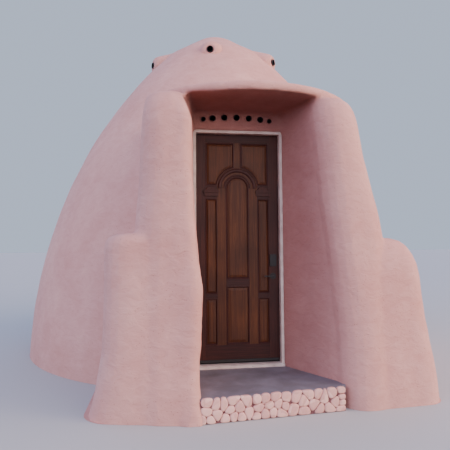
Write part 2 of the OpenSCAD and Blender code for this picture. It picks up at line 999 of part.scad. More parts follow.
// A rectangular panel with its raised field, given its place and size on the leaf
module raised_panel(u, v, w, h) {
    in_leaf(panel_t) translate([u, v]) square([w, h]);
    in_leaf(panel_t + 2 * field_t)
        translate([u + field_edge, v + field_edge])
            square([w - 2 * field_edge, h - 2 * field_edge]);
}

// Outline of the upper left panel, drawn in by an edge
module spandrel(edge) {
    low = capital_v + capital_h + edge;
    difference() {
        translate([stile_w + edge, low])
            square([arch_u - crown_w / 2 - stile_w - 2 * edge, leaf_h - top_rail_h - low - edge]);
        arch_disc(arch_outer_r + edge);
    }
}

module upper_panels() {
    color(light_mahogany)
        union() {
            in_leaf(panel_t) both_sides() spandrel(0);
            in_leaf(panel_t + 2 * field_t) both_sides() spandrel(field_edge);
        }
}

// Outline of the tall middle panel, drawn in by an edge
module arched(edge) {
    low = centre_rail_v + centre_rail_h + edge;
    translate([arch_u - arch_r + edge, low]) square([2 * (arch_r - edge), arch_v - low]);
    arch_disc(arch_r - edge);
}

module tall_panels() {
    low = field_inner_v + side_rail_h;
    color(light_mahogany)
        union() {
            for (u = [stile_w, leaf_w - mullion_u])
                raised_panel(u, low, mullion_u - stile_w, capital_v - low);
            in_leaf(panel_t) arched(0);
            in_leaf(panel_t + 2 * field_t) arched(field_edge);
        }
}

module lower_panels() {
    color(light_mahogany)
        union() {
            for (u = [stile_w, leaf_w - mullion_u])
                raised_panel(u, bottom_rail_h, mullion_u - stile_w, field_inner_v - bottom_rail_h);
            raised_panel(arch_u - arch_r, bottom_rail_h, 2 * arch_r, centre_rail_v - bottom_rail_h);
        }
}

module door_sweep() {
    color(black_metal)
        translate([leaf_x + stop_t, leaf_out_y - sweep_t, leaf_z])
            cube([leaf_w - 2 * stop_t, sweep_t, sweep_h]);
}

module rose(y) {
    translate([lock_x, y, lever_z])
        rotate([-90, 0, 0])
            difference() {
                cylinder(r = rose_r, h = rose_t, $fn = fine_fn);
                translate([0, 0, -past])
                    cylinder(r = spindle_r + pin_gap, h = rose_t + 2 * past, $fn = round_fn);
            }
}

module bolt_plate(y, t) {
    translate([lock_x, y + t, bolt_z])
        rotate([90, 0, 0])
            linear_extrude(t)
                union() {
                    square([bolt_w - 2 * bolt_corner_r, bolt_h], center = true);
                    square([bolt_w, bolt_h - 2 * bolt_corner_r], center = true);
                    for (x = [-1, 1], z = [-1, 1])
                        translate([x * (bolt_w / 2 - bolt_corner_r), z * (bolt_h / 2 - bolt_corner_r)])
                            circle(r = bolt_corner_r, $fn = round_fn);
                }
}

module door_locks() {
    color(black_metal)
        union() {
            rose(leaf_out_y - rose_t);
            rose(leaf_in_y);
            bolt_plate(leaf_out_y - bolt_t, bolt_t);
            bolt_plate(leaf_in_y, bolt_t);
            translate([lock_x, leaf_in_y + bolt_t - past, bolt_z])
                rotate([-90, 0, 0])
                    cylinder(r = turn_r, h = turn_out + past, $fn = round_fn);
            translate([lock_x - turn_r, leaf_in_y + bolt_t + turn_out - turn_r, bolt_z - turn_len / 2])
                cube([2 * turn_r, turn_r, turn_len]);
        }
}

// The lever arm, drawn with its outer face away from the leaf
module lever_arm(y) {
    translate([lock_x, y, lever_z])
        rotate([-90, 0, 0])
            union() {
                cylinder(r = lever_h / 2, h = lever_t, $fn = round_fn);
                translate([-lever_len + lever_h / 2, -lever_h / 2, 0])
                    cube([lever_len - lever_h / 2, lever_h, lever_t]);
                translate([-lever_len + lever_h / 2, 0, 0])
                    cylinder(r = lever_h / 2, h = lever_t, $fn = round_fn);
            }
}

module lever_set() {
    out_y = leaf_out_y - rose_t - rose_gap - neck_len;
    in_y = leaf_in_y + rose_t + rose_gap + neck_len;
    color(black_metal)
        union() {
            translate([lock_x, out_y, lever_z])
                rotate([-90, 0, 0])
                    cylinder(r = spindle_r, h = in_y - out_y, $fn = round_fn);
            translate([lock_x, out_y, lever_z])
                rotate([-90, 0, 0])
                    cylinder(r = neck_r, h = neck_len, $fn = round_fn);
            translate([lock_x, in_y - neck_len, lever_z])
                rotate([-90, 0, 0])
                    cylinder(r = neck_r, h = neck_len, $fn = round_fn);
            lever_arm(out_y - lever_t + past);
            lever_arm(in_y - past);
        }
}

floor_slab();
porch_slab();
porch_step();
front_right_wall();
ring_wall(1);  // right_front_wall
ring_wall(2);  // right_back_wall
ring_wall(3);  // back_right_wall
ring_wall(4);  // back_left_wall
ring_wall(5);  // left_back_wall
ring_wall(6);  // left_front_wall
front_left_wall();
dome_front();
dome_quarter(1);  // dome_right
dome_quarter(2);  // dome_back
dome_quarter(3);  // dome_left
dome_cap();
vent_stubs();
vent_pipes();
left_pier();
left_buttress();
right_pier();
right_buttress();
porch_hood();
door_head_wall();
transom_pipes();
hinge_jamb();
lock_jamb();
head_jamb();
door_sill();
sill_strip();
frame_hinges();
hinge_stile();
lock_stile();
top_rail();
cross_rails();
bottom_rail();
mullions();
door_arch();
upper_panels();
tall_panels();
lower_panels();
door_sweep();
door_hinges();
door_locks();
lever_set();
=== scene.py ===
# %% [markdown]
# # A small domed adobe house
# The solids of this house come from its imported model: a beehive-shaped earth dome with a
# recessed porch between two stepped piers, a round hood slab and a tall panelled door. This
# lesson dresses them. The plaster becomes one hand-rubbed skin, the step gets its cobbles,
# and the door gets its mouldings, its wood and its lockset.

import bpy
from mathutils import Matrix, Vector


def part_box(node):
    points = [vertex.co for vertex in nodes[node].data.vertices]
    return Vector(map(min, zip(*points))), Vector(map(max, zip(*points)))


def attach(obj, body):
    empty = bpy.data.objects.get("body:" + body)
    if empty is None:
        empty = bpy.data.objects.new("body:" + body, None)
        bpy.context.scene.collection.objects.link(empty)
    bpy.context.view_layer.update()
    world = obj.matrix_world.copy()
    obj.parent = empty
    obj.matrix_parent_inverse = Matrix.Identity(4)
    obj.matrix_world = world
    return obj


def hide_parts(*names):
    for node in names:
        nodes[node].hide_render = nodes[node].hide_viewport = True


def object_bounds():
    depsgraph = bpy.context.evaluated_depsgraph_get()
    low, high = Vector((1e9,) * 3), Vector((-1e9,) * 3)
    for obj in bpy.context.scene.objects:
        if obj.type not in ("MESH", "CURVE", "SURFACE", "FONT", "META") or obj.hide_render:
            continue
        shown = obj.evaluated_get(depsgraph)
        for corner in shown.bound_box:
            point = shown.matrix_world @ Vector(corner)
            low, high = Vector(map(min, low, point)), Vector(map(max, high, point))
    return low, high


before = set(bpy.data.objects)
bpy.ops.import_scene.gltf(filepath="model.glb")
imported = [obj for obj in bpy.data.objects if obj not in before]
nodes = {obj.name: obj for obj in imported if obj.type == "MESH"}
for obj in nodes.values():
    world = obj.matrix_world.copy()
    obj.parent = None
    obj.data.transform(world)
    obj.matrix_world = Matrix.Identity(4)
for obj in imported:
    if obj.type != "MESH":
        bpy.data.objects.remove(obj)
cad_box = [list(corner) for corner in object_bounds()]

import math

import bmesh
import bpy
from mathutils import Matrix, Vector, noise

print("solids:", len(nodes), "box:", [[round(c, 3) for c in corner] for corner in cad_box])

# %% [markdown]
# ## Where things are
# All lengths are metres: X runs to the right of the door, Y from the front of the house to its
# back, and Z up from the ground. The frame knows the box of every solid, so places that the
# solids already settle are read from it, here or where they are first needed.

# %% Places that several steps share
MM = 0.001
wall_front_y, wall_back_y = (corner.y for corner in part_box("door_head_wall"))
floor_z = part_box("porch_slab")[1].z
print("porch floor at", round(floor_z, 3), "and the wall over the door at",
      round(wall_front_y, 3))

# %% [markdown]
# ## Colours and nodes
# Colours are written as the sRGB hex values that a paint chart or a picture shows, and one
# function turns them to the linear values that shaders work with. The others add nodes. An
# input of a node is given as a constant, as a socket, or as another node whose first output
# is then linked to it, so that each material reads as a short list of what it is made of.

# %% Helpers for colours and materials
def linear(colour):
    """Linear RGBA of an sRGB hex colour such as "d9a79b"."""
    parts = [int(colour[i:i + 2], 16) / 255 for i in (0, 2, 4)]
    return [c / 12.92 if c <= 0.04045 else ((c + 0.055) / 1.055) ** 2.4 for c in parts] + [1.0]


def set_inputs(node, inputs):
    """Sets a node's inputs, each to a constant, a socket or another node's first output."""
    for name, value in inputs.items():
        if isinstance(value, bpy.types.Node):
            value = next(socket for socket in value.outputs if socket.enabled)
        if isinstance(value, bpy.types.NodeSocket):
            node.id_data.links.new(value, node.inputs[name])
        else:
            node.inputs[name].default_value = value


def add_node(owner, kind, inputs=None, **settings):
    """Adds a node to a material or a world."""
    node = owner.node_tree.nodes.new(kind)
    for name, value in settings.items():
        setattr(node, name, value)
    set_inputs(node, inputs or {})
    return node


def new_material(name, **surface):
    """A material with its shader's constants set; returns it with its shader node."""
    material = bpy.data.materials.new(name)
    material.use_nodes = True
    shader = material.node_tree.nodes["Principled BSDF"]
    set_inputs(shader, {socket.replace("_", " "): value for socket, value in surface.items()})
    return material, shader


print("the pigment of the plaster in linear light:", [round(c, 3) for c in linear("cd978c")])

# %% [markdown]
# Five kinds of node come back in nearly every material, and each has a function of its own.
# Noise gives patches, a range stretches or turns round a value, a ramp gives a value its
# colour, a mix blends two of them, and a bump tilts the surface as if it had relief.

# %% Helpers for the commonest nodes
def own_place(owner):
    """A socket with each point's place in the house's own coordinates."""
    return add_node(owner, "ShaderNodeTexCoord").outputs["Object"]


def add_noise(owner, place, scale, detail, **more):
    """Noise; its patches are one over scale wide and get finer ones inside by detail."""
    return add_node(owner, "ShaderNodeTexNoise",
                    {"Vector": place, "Scale": scale, "Detail": detail, **more})


def add_range(owner, value, start, end, to_start=0.0, to_end=1.0, **settings):
    """Turns values from start to end into values from to_start to to_end."""
    return add_node(owner, "ShaderNodeMapRange",
                    {"Value": value, "From Min": start, "From Max": end,
                     "To Min": to_start, "To Max": to_end}, **settings)


def add_ramp(owner, value, *stops):
    """Turns a value into a colour; the stops are (position, hex colour) pairs."""
    ramp = add_node(owner, "ShaderNodeValToRGB", {"Fac": value})
    elements = ramp.color_ramp.elements
    while len(elements) < len(stops):
        elements.new(0.5)
    for element, (position, colour) in zip(elements, stops):
        element.position = position
        element.color = linear(colour)
    return ramp


def add_mix(owner, share, first, second, data_type="RGBA", **settings):
    """Mixes two colours or numbers; share is the part that the second has in it."""
    return add_node(owner, "ShaderNodeMix", {"Factor": share, "A": first, "B": second},
                    data_type=data_type, **settings)


def add_bump(owner, height, strength, depth, **more):
    """Relief that stands out by up to depth, in metres, where height is 1."""
    return add_node(owner, "ShaderNodeBump",
                    {"Height": height, "Strength": strength, "Distance": depth, **more})


print("a patch of noise of scale 4.5 is", round(1 / 4.5, 2), "m wide")

# %% [markdown]
# ### Pink lime plaster
# The walls wear a lime plaster with a pink pigment, rubbed on by hand and trowelled while
# damp. It is dull all over and cloudy where coats overlap. Noise of two sizes gives that:
# broad clouds about half a metre across, and trowel sweeps about 60 mm high that are drawn
# out sideways.

# %% Tint the lime plaster
lime_plaster, shader = new_material("lime_plaster", Roughness=0.92, Specular_IOR_Level=0.25)
place = own_place(lime_plaster)
clouds = add_noise(lime_plaster, place, 1.9, 5.0, Roughness=0.6)
sweep_map = add_node(lime_plaster, "ShaderNodeMapping",
                     {"Vector": place, "Scale": (9.0, 9.0, 15.0)})
sweeps = add_noise(lime_plaster, sweep_map, 1.0, 4.0, Roughness=0.62, Distortion=0.6)
tint = add_ramp(lime_plaster, clouds, (0.30, "c48b80"), (0.52, "cd978c"), (0.74, "d6a397"))
sweep_tint = add_ramp(lime_plaster, sweeps, (0.36, "c48c82"), (0.66, "d6a398"))
mixed = add_mix(lime_plaster, 0.3, tint, sweep_tint)
print("plaster nodes for the tint:", len(lime_plaster.node_tree.nodes))

# %% [markdown]
# Damp plaster is pocked by small pits where air and sand came out under the trowel. They lie
# in patches, about 30 mm apart, and their insides are darkened as a painted shade. A Voronoi
# texture sets one pit in each cell and a soft noise keeps them to the patches. Three bumps
# follow each other: the trowel's sweeps, the pits, and the sand, which is drawn at 5 mm,
# coarser than it is, so that it shows.

# %% Pit and grain the lime plaster
pits = add_node(lime_plaster, "ShaderNodeTexVoronoi",
                {"Vector": place, "Scale": 34.0, "Randomness": 1.0})
pit_edge = add_range(lime_plaster, pits, 0.05, 0.16)
pit_patch = add_noise(lime_plaster, place, 4.5, 2.0)
pit_mask = add_range(lime_plaster, pit_patch, 0.44, 0.56, 1.0, 0.0)
pit_height = add_node(lime_plaster, "ShaderNodeMath", {0: pit_edge, 1: pit_mask},
                      operation="MAXIMUM")
# the colour a5685f darkens the pits' insides: a painted shade
pit_shaded_tint = add_mix(lime_plaster, pit_height, linear("a5685f"), mixed)
sand = add_noise(lime_plaster, place, 190.0, 3.0)
sweep_bump = add_bump(lime_plaster, sweeps, 0.7, 0.014)
pit_bump = add_bump(lime_plaster, pit_height, 0.8, 0.004, Normal=sweep_bump)
sand_bump = add_bump(lime_plaster, sand, 0.35, 0.002, Normal=pit_bump)
set_inputs(shader, {"Normal": sand_bump})
print("plaster nodes with the relief:", len(lime_plaster.node_tree.nodes))

# %% [markdown]
# Inside the porch the plaster gets a painted shade: its tint is darkened there, where the hood
# and the piers keep light out. The porch is a box in the house's own coordinates. A soft step
# for each of its sides is multiplied with the others, and where all are 1 the tint is
# multiplied by a pale grey.

# %% Paint shade into the plaster inside the porch
way = add_node(lime_plaster, "ShaderNodeSeparateXYZ", {"Vector": place}).outputs
aside = add_node(lime_plaster, "ShaderNodeMath", {0: way["X"]}, operation="ABSOLUTE")
porch_shade_mask = add_range(lime_plaster, way["Y"], -3.50, -3.00, interpolation_type="SMOOTHSTEP")
porch_limits = ((aside, 0.88, 0.70), (way["Z"], 2.97, 2.93), (way["Y"], -2.20, -2.35))
for value, outer, inner in porch_limits:
    within = add_range(lime_plaster, value, outer, inner)
    porch_shade_mask = add_node(lime_plaster, "ShaderNodeMath", {0: porch_shade_mask, 1: within},
                         operation="MULTIPLY")
# multiplying by the pale grey d2cbce paints shade into the plaster inside the porch
porch_shaded_tint = add_mix(lime_plaster, porch_shade_mask, pit_shaded_tint, linear("d2cbce"), blend_type="MULTIPLY")
set_inputs(shader, {"Base Color": porch_shaded_tint})
print("plaster nodes in all:", len(lime_plaster.node_tree.nodes))

# %% [markdown]
# ### Trowelled concrete
# The porch slab and the floor are steel-trowelled concrete: smooth, a cool grey, cloudy from
# uneven drying, with a low sheen. The clouds are 100 to 300 mm across, and the paler ones
# are also the duller ones.

# %% Make the concrete
porch_concrete, shader = new_material("porch_concrete", Roughness=0.62)
place = own_place(porch_concrete)
clouds = add_noise(porch_concrete, place, 5.0, 7.0, Roughness=0.65, Distortion=0.4)
tint = add_ramp(porch_concrete, clouds, (0.30, "655f62"), (0.50, "767077"), (0.72, "88838b"))
sheen = add_range(porch_concrete, clouds, 0.3, 0.7, 0.5, 0.75)
grit_bump = add_bump(porch_concrete, add_noise(porch_concrete, place, 220.0, 2.0), 0.2, 0.001)
set_inputs(shader, {"Base Color": tint, "Roughness": sheen, "Normal": grit_bump})
print("concrete nodes:", len(porch_concrete.node_tree.nodes))

# %% [markdown]
# ### Painted cobbles and their joints
# The stones of the step wear the same pink as the walls, thinly enough that each stone keeps
# a tone of its own. The joints between them took little paint and stay dark and dull.

# %% Make the cobble paint and the joint mortar
cobble_paint, shader = new_material("cobble_paint", Roughness=0.85)
place = own_place(cobble_paint)
patches = add_node(cobble_paint, "ShaderNodeTexVoronoi", {"Vector": place, "Scale": 15.0})
grey = add_node(cobble_paint, "ShaderNodeRGBToBW", {"Color": patches.outputs["Color"]})
tint = add_ramp(cobble_paint, grey, (0.2, "cf9a8f"), (0.5, "dba79a"), (0.8, "e6b6a8"))
speckle = add_noise(cobble_paint, place, 60.0, 5.0)
worn = add_mix(cobble_paint, 0.25, tint, speckle.outputs["Color"], blend_type="SOFT_LIGHT")
bumps = add_bump(cobble_paint, speckle, 0.4, 0.003)
set_inputs(shader, {"Base Color": worn, "Normal": bumps})

joint_mortar, shader = new_material("joint_mortar", Roughness=0.95)
grains = add_noise(joint_mortar, own_place(joint_mortar), 90.0, 4.0)
tint = add_ramp(joint_mortar, grains, (0.35, "5a3537"), (0.65, "87595a"))
bumps = add_bump(joint_mortar, grains, 0.6, 0.003)
set_inputs(shader, {"Base Color": tint, "Normal": bumps})
print("nodes of the paint and the mortar:", len(cobble_paint.node_tree.nodes),
      len(joint_mortar.node_tree.nodes))

# %% [markdown]
# ### Mahogany
# The door is solid mahogany under a satin varnish. Its grain runs along each piece: up the
# stiles, mullions and panels and across the rails. Growth streaks are 4 to 12 mm wide and
# about half a metre long, and fine pores run with them. The panels, the mullions and the arch
# are cut from lighter boards than the stiles, and the rails from the darkest. The varnish is
# thin and worn, so it adds little shine. The same recipe is used for all of them, with the
# colours and the grain's direction changed.

# %% Make the woods
def varnished_wood(name, across, dark, middle, light):
    """A varnished wood; across is how the grain lies: the streak frequency along X, Y, Z."""
    wood, shader = new_material(name, Roughness=0.5, Specular_IOR_Level=0.22,
                                Coat_Weight=0.06, Coat_Roughness=0.35)
    place = own_place(wood)
    along = add_node(wood, "ShaderNodeMapping", {"Vector": place, "Scale": across})
    streaks = add_noise(wood, along, 1.0, 6.0, Roughness=0.62, Distortion=0.35)
    pores = add_noise(wood, along, 4.2, 3.0, Roughness=0.7)
    boards = add_noise(wood, place, 2.4, 2.0)
    tone = add_mix(wood, 0.35, streaks, boards, data_type="FLOAT")
    tint = add_ramp(wood, tone, (0.34, dark), (0.50, middle), (0.66, light))
    pore_shade = add_range(wood, pores, 0.35, 0.55, 0.45, 1.0)
    shaded = add_mix(wood, pore_shade, linear(dark), tint)
    set_inputs(shader, {"Base Color": shaded, "Normal": add_bump(wood, pores, 0.25, 0.0008)})
    return wood


upright_grain, level_grain = (95.0, 95.0, 2.2), (2.2, 95.0, 95.0)
stile_mahogany = varnished_wood("stile_mahogany", upright_grain, "260f0c", "3a1915", "4c241b")
rail_mahogany = varnished_wood("rail_mahogany", level_grain, "220d0b", "341613", "472119")
panel_mahogany = varnished_wood("panel_mahogany", upright_grain, "32170c", "4c2916", "673a1d")
print("woods:", stile_mahogany.name, rail_mahogany.name, panel_mahogany.name)

# %% [markdown]
# ### Paint, vinyl, steel and enamel
# The frame is wood under white satin paint, given a warm pale grey with a pink cast: a painted
# shade from the porch it stands in. The sweep and the weather strip are black vinyl, the hinges
# satin steel, the lockset metal under a dull black enamel, and the pipes nearly black plastic
# drain pipe. All of them are nearly plain, so one recipe does: a tone that drifts a little, and a
# fine ripple.

# %% Make the small finishes
def plain_finish(name, colours, scale, bump, **surface):
    """A finish whose tone drifts between two hex colours, with a fine bump."""
    finish, shader = new_material(name, **surface)
    place = own_place(finish)
    drift = add_noise(finish, place, scale, 5.0)
    tint = add_ramp(finish, drift, (0.35, colours[0]), (0.65, colours[1]))
    ripple = add_bump(finish, add_noise(finish, place, scale * 14, 2.0), 0.25, bump)
    set_inputs(shader, {"Base Color": tint, "Normal": ripple})
    return finish


# the frame's white is greyed with a pink cast: a painted shade of the porch
frame_paint = plain_finish("frame_paint", ("bdaba3", "d6c8bf"), 9.0, 0.0006, Roughness=0.5)
sweep_vinyl = plain_finish("sweep_vinyl", ("0d0c0d", "171617"), 30.0, 0.0005, Roughness=0.6)
hinge_steel = plain_finish("hinge_steel", ("9b978f", "b9b5ad"), 40.0, 0.0002, Roughness=0.35,
                           Metallic=1.0)
lock_enamel = plain_finish("lock_enamel", ("050506", "0b0b0c"), 50.0, 0.0003, Roughness=0.55)
pipe_plastic = plain_finish("pipe_plastic", ("120f12", "1d191c"), 20.0, 0.0004, Roughness=0.55)
print("finishes:", [finish.name for finish in (frame_paint, sweep_vinyl, hinge_steel,
                                               lock_enamel, pipe_plastic)])

# %% [markdown]
# ## Making pieces
# A piece starts as a bmesh. These helpers turn a finished bmesh into an object that rides on
# a body of the model, and give a solid that keeps its shape its finish. A body is what moves
# as one: the house, the door or the lever.

# %% Helpers that finish pieces
def add_object(name, data):
    """Puts new data into the scene as an object."""
    made = bpy.data.objects.new(name, data)
    bpy.context.scene.collection.objects.link(made)
    return made


def finish_piece(bm, name, body, material, stands_for=(), smooth=True):
    """Makes the object, gives it its material and its place in the model."""
    mesh = bpy.data.meshes.new(name)
    bm.to_mesh(mesh)
    bm.free()
    piece = add_object(name, mesh)
    mesh.materials.append(material)
    for face in mesh.polygons:
        face.use_smooth = smooth
    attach(piece, body)
    if stands_for:
        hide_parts(*stands_for)
    print(name, "has", len(mesh.polygons), "faces")
    return piece


def dress_solid(name, material):
    """Gives a solid of the model its finish and leaves its mesh alone."""
    nodes[name].data.materials.clear()
    nodes[name].data.materials.append(material)
    print(name, "keeps its solid and wears", material.name)


def round_edges(piece, width, segments=2, angle=35):
    """Softens a piece's sharp edges with a Bevel modifier."""
    bevel = piece.modifiers.new("soft_edges", "BEVEL")
    bevel.width = width
    bevel.segments = segments
    bevel.limit_method = "ANGLE"
    bevel.angle_limit = math.radians(angle)
    bevel.harden_normals = True


# %% [markdown]
# Pieces are built up from copies of solids, from blocks and from parts made one at a time.
# The model's meshes are loose triangles, so a copy has its doubled points merged and its flat
# neighbours joined before anything else is done to it.

# %% Helpers that shape pieces
def copy_solids(names, joined=True):
    """A bmesh with copies of the named solids, merged into clean shells."""
    bm = bmesh.new()
    for name in names:
        bm.from_mesh(nodes[name].data)
    bmesh.ops.remove_doubles(bm, verts=bm.verts, dist=0.01 * MM)
    if joined:
        bmesh.ops.dissolve_limit(bm, angle_limit=math.radians(0.5), verts=bm.verts,
                                 edges=bm.edges)
    return bm


def pour_into(bm, part):
    """Adds a finished part to a bmesh and frees the part."""
    mould = bpy.data.meshes.new("mould")
    part.to_mesh(mould)
    part.free()
    bm.from_mesh(mould)
    bpy.data.meshes.remove(mould)


def cut_away(bm, place, outward):
    """Cuts a bmesh with a plane and drops what lies on the plane's outward side."""
    bmesh.ops.bisect_plane(bm, geom=bm.verts[:] + bm.edges[:] + bm.faces[:], plane_co=place,
                           plane_no=outward, clear_outer=True)


def add_block(bm, low, high):
    """Adds a block between two corners and returns its points."""
    low, high = Vector(low), Vector(high)
    made = bmesh.ops.create_cube(bm, size=1.0)
    bmesh.ops.scale(bm, vec=high - low, verts=made["verts"])
    bmesh.ops.translate(bm, vec=(low + high) / 2, verts=made["verts"])
    return made["verts"]


# %% [markdown]
# ## The plaster skin
# On the real house one coat of plaster runs over the earth coils of the dome, the piers,
# the buttresses, the hood and the wall over the door, so there is no seam between them and
# every inside corner is rubbed round. The solids are copied, taken a little below the
# ground so that no edge is rounded there, and turned into one skin by a voxel remesh. A few
# rounds of smoothing rub the corners. It is done twice: coarsely for the whole house, and
# finely for the solids round the porch, where the hood's rim and the piers' edges show.

# %% List the plastered solids
porch_solids = ["front_right_wall", "front_left_wall", "dome_front", "left_pier",
                "left_buttress", "right_pier", "right_buttress", "porch_hood",
                "door_head_wall"]
plastered = porch_solids + ["right_front_wall", "right_back_wall", "back_right_wall",
                            "back_left_wall", "left_back_wall", "left_front_wall",
                            "dome_right", "dome_back", "dome_left", "dome_cap"]
print("plastered solids:", len(plastered), "of which round the porch:", len(porch_solids))

# %% Wrap them in two skins
below_ground_z = -0.15
house_voxel, porch_voxel = ((0.030, 0.018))


def rubbed_skin(names, voxel, rub_rounds):
    """One closed skin round the named solids, with its corners rubbed round, as a bmesh."""
    bm = bmesh.new()
    for name in names:
        shell = copy_solids([name], joined=False)
        for point in shell.verts:
            if point.co.z < 1 * MM:
                point.co.z = below_ground_z
        pour_into(bm, shell)
    rough_mesh = bpy.data.meshes.new("rough_plaster")
    bm.to_mesh(rough_mesh)
    rough = add_object("rough_plaster", rough_mesh)
    remesh = rough.modifiers.new("skin", "REMESH")
    remesh.mode = "VOXEL"
    remesh.voxel_size = voxel
    rub = rough.modifiers.new("rub", "SMOOTH")
    rub.factor = 0.5
    rub.iterations = rub_rounds
    skin_mesh = bpy.data.meshes.new_from_object(
        rough.evaluated_get(bpy.context.evaluated_depsgraph_get()))
    bpy.data.objects.remove(rough)
    bm.clear()
    bm.from_mesh(skin_mesh)
    bpy.data.meshes.remove(skin_mesh)
    print("skin:", len(bm.faces), "faces at", voxel, "m")
    return bm


house_skin = rubbed_skin(plastered, house_voxel, 2)
porch_skin = rubbed_skin(porch_solids, porch_voxel, 3)

# %% [markdown]
# ### Where the two skins meet
# The fine skin is kept round the porch and the coarse one everywhere else. They meet on the
# smooth side of the dome, a hand's width past the buttresses, above the hood, and inside the
# passage. Each runs on past the seam for 30 mm and sinks under the other there by a
# millimetre and a half, so no gap and no step is left. The dome's outside is an arc spun
# about Z, so its radius at each level tells the outside from the room.

# %% Find the seam
seam_turn, seam_level, seam_in_passage = math.radians(42.5), 3.42, -2.30
passage_left, passage_right, passage_top = -0.75, 0.60, 2.95
dome_foot_r, curve_r, curve_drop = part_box("right_front_wall")[1].x, 6.790, 0.275
curve_centre = math.sqrt(curve_r ** 2 - curve_drop ** 2) - dome_foot_r
curve_top_z, just_inside = 4.9, 0.10


def dome_radius(level):
    """Radius of the dome's outside at a level."""
    return math.sqrt(curve_r ** 2 - (max(level, 0) + curve_drop) ** 2) - curve_centre


def porch_side(co):
    """Distance from the seam: positive on the porch's side, negative on the dome's."""
    away = math.hypot(co.x, co.y)
    in_passage = passage_left < co.x < passage_right and co.z < passage_top
    if in_passage or away < dome_radius(min(co.z, curve_top_z)) - just_inside:
        return seam_in_passage - co.y
    turn = abs(math.atan2(co.x, -co.y))
    return min((seam_turn - turn) * away, seam_level - co.z)


# %% Trim the skins to the seam
seam_lap, seam_sink = 0.030, 0.0015


def fade(value, zero_at, one_at):
    """0 up to one limit, 1 from the other on, and a straight run between them."""
    return min(1.0, max(0.0, (value - zero_at) / (one_at - zero_at)))


def trim_to_seam(bm, side):
    """Drops what lies past the seam and sinks the lap; side is 1 for the porch, -1 for the rest."""
    beyond = [face for face in bm.faces
              if porch_side(face.calc_center_median()) * side < -seam_lap]
    bmesh.ops.delete(bm, geom=beyond, context="FACES")
    bm.normal_update()
    for point in bm.verts:
        share = fade(porch_side(point.co) * side, seam_lap, -seam_lap)
        point.co -= point.normal * seam_sink * share


for skin, side in ((house_skin, -1), (porch_skin, 1)):
    trim_to_seam(skin, side)
    print("skin trimmed to", len(skin.faces), "faces")

# %% [markdown]
# ### Hand-rubbed unevenness
# No part of the real wall is true. Broad swells half a metre and more across, hand-sized
# dents and, on the piers, soft upright ribs show in the light. Each point moves along its
# normal by smooth noise, which is the same on every run and in both skins.

# %% Measure the wall's swells, dents and ribs
swell_h, small_swell_h, dent_h, rib_h = 0.010, 0.005, 0.0022, 0.008
pier_start_y, pier_top_z, pier_fade = -2.75, 2.80, 0.30


def wall_swell(co):
    """How far the wall stands out at a point, in metres, apart from the left pier's edge."""
    swells = (noise.noise(co * 1.3) * swell_h
              + noise.noise(co * 3.1 + Vector((7, 3, 1))) * small_swell_h)
    dents = noise.noise(co * 8.0 + Vector((2, 9, 4))) * dent_h
    on_pier = (fade(co.y, pier_start_y, pier_start_y - pier_fade)
               * fade(co.z, pier_top_z, pier_top_z - pier_fade))
    ribs = noise.noise(Vector((co.x * 4.6, co.y * 4.6, co.z * 0.7))) * rib_h * on_pier
    return swells + dents + ribs


print("swell by the right pier's foot:",
      round(wall_swell(Vector((0.9, -3.4, 0.3))) / MM, 1), "mm")

# %% [markdown]
# The left pier's inner edge wavers more than the rest of the wall. Under the hood its top
# is cut back, so that the porch flares there, and at its foot the plaster runs out over the
# end of the step.

# %% Measure the left pier's edge
edge_x, edge_w, edge_front_y, edge_fade = -0.58, 0.16, -3.30, 0.15
wave_h, small_wave_h = 0.018, 0.006
corner_x, corner_w, corner_front_y = -0.60, 0.20, -3.00
flare_foot_z, flare_full_z, flare_end_z, flare_top_z = 2.58, 2.84, 2.86, 2.93
flare_in, run_out_by, run_out_z = 0.060, 0.030, 0.25


def edge_swell(co):
    """How far the left pier's inner edge stands out at a point, in metres."""
    edge = fade(abs(co.x - edge_x), edge_w, 0) * fade(co.y, edge_front_y,
                                                      edge_front_y - edge_fade)
    waves = (noise.noise(Vector((0.3, 0.7, co.z * 4.2))) * wave_h
             + noise.noise(Vector((5.3, 1.7, co.z * 11.0))) * small_wave_h)
    run_out = run_out_by * fade(co.z, run_out_z, 0) ** 1.5
    corner = fade(abs(co.x - corner_x), corner_w, 0) * fade(co.y, corner_front_y,
                                                            corner_front_y - corner_w)
    flare = (flare_in * fade(co.z, flare_foot_z, flare_full_z) ** 1.5
             * fade(co.z, flare_top_z, flare_end_z))
    return (waves + run_out) * edge - flare * corner


print("edge at the pier's foot:", round(edge_swell(Vector((-0.58, -3.5, 0))) / MM, 1), "mm")

# %% [markdown]
# Around the door frame the wall stays true, because the frame is set in it. A distance from
# the frame's box, turned into a share from 0 to 1, tells how free each point is. The skins
# are then cut off at the ground and kept inside the box of the solids.

# %% Push the skins in and out
frame_mid_x, frame_half_w, frame_front_y, frame_back_y = -0.075, 0.62, -2.66, -2.40
frame_top_z, free_at = 2.80, 0.15


def freedom(co):
    """1 where the wall is free to swell, 0 at the door frame and inside the passage."""
    beside = max(abs(co.x - frame_mid_x) - frame_half_w, 0.0)
    along = max(frame_front_y - co.y, co.y - frame_back_y, 0.0)
    above = max(co.z - frame_top_z, 0.0)
    return fade(math.sqrt(beside ** 2 + along ** 2 + above ** 2), 0, free_at)


for skin in (house_skin, porch_skin):
    skin.normal_update()
    for point in skin.verts:
        stands_out = wall_swell(point.co) + edge_swell(point.co)
        point.co += point.normal * stands_out * freedom(point.co)
        for axis in range(2):
            point.co[axis] = min(cad_box[1][axis] - MM, max(cad_box[0][axis] + MM,
                                                            point.co[axis]))
    cut_away(skin, (0, 0, 0), (0, 0, -1))
    print("skin above the ground:", len(skin.faces), "faces")

# %% [markdown]
# ### Openings for the pipes
# Seven pipes pass through the wall over the door and six vent pipes through the cap. Each
# is opened in the skin by taking out the faces inside its circle and drawing the rim of the
# hole onto the pipe. Plaster is pushed up around every pipe, which the collars below make.

# %% A helper that opens a hole
search_reach, hole_share, rim_share = 1.2, 1.02, 2.2


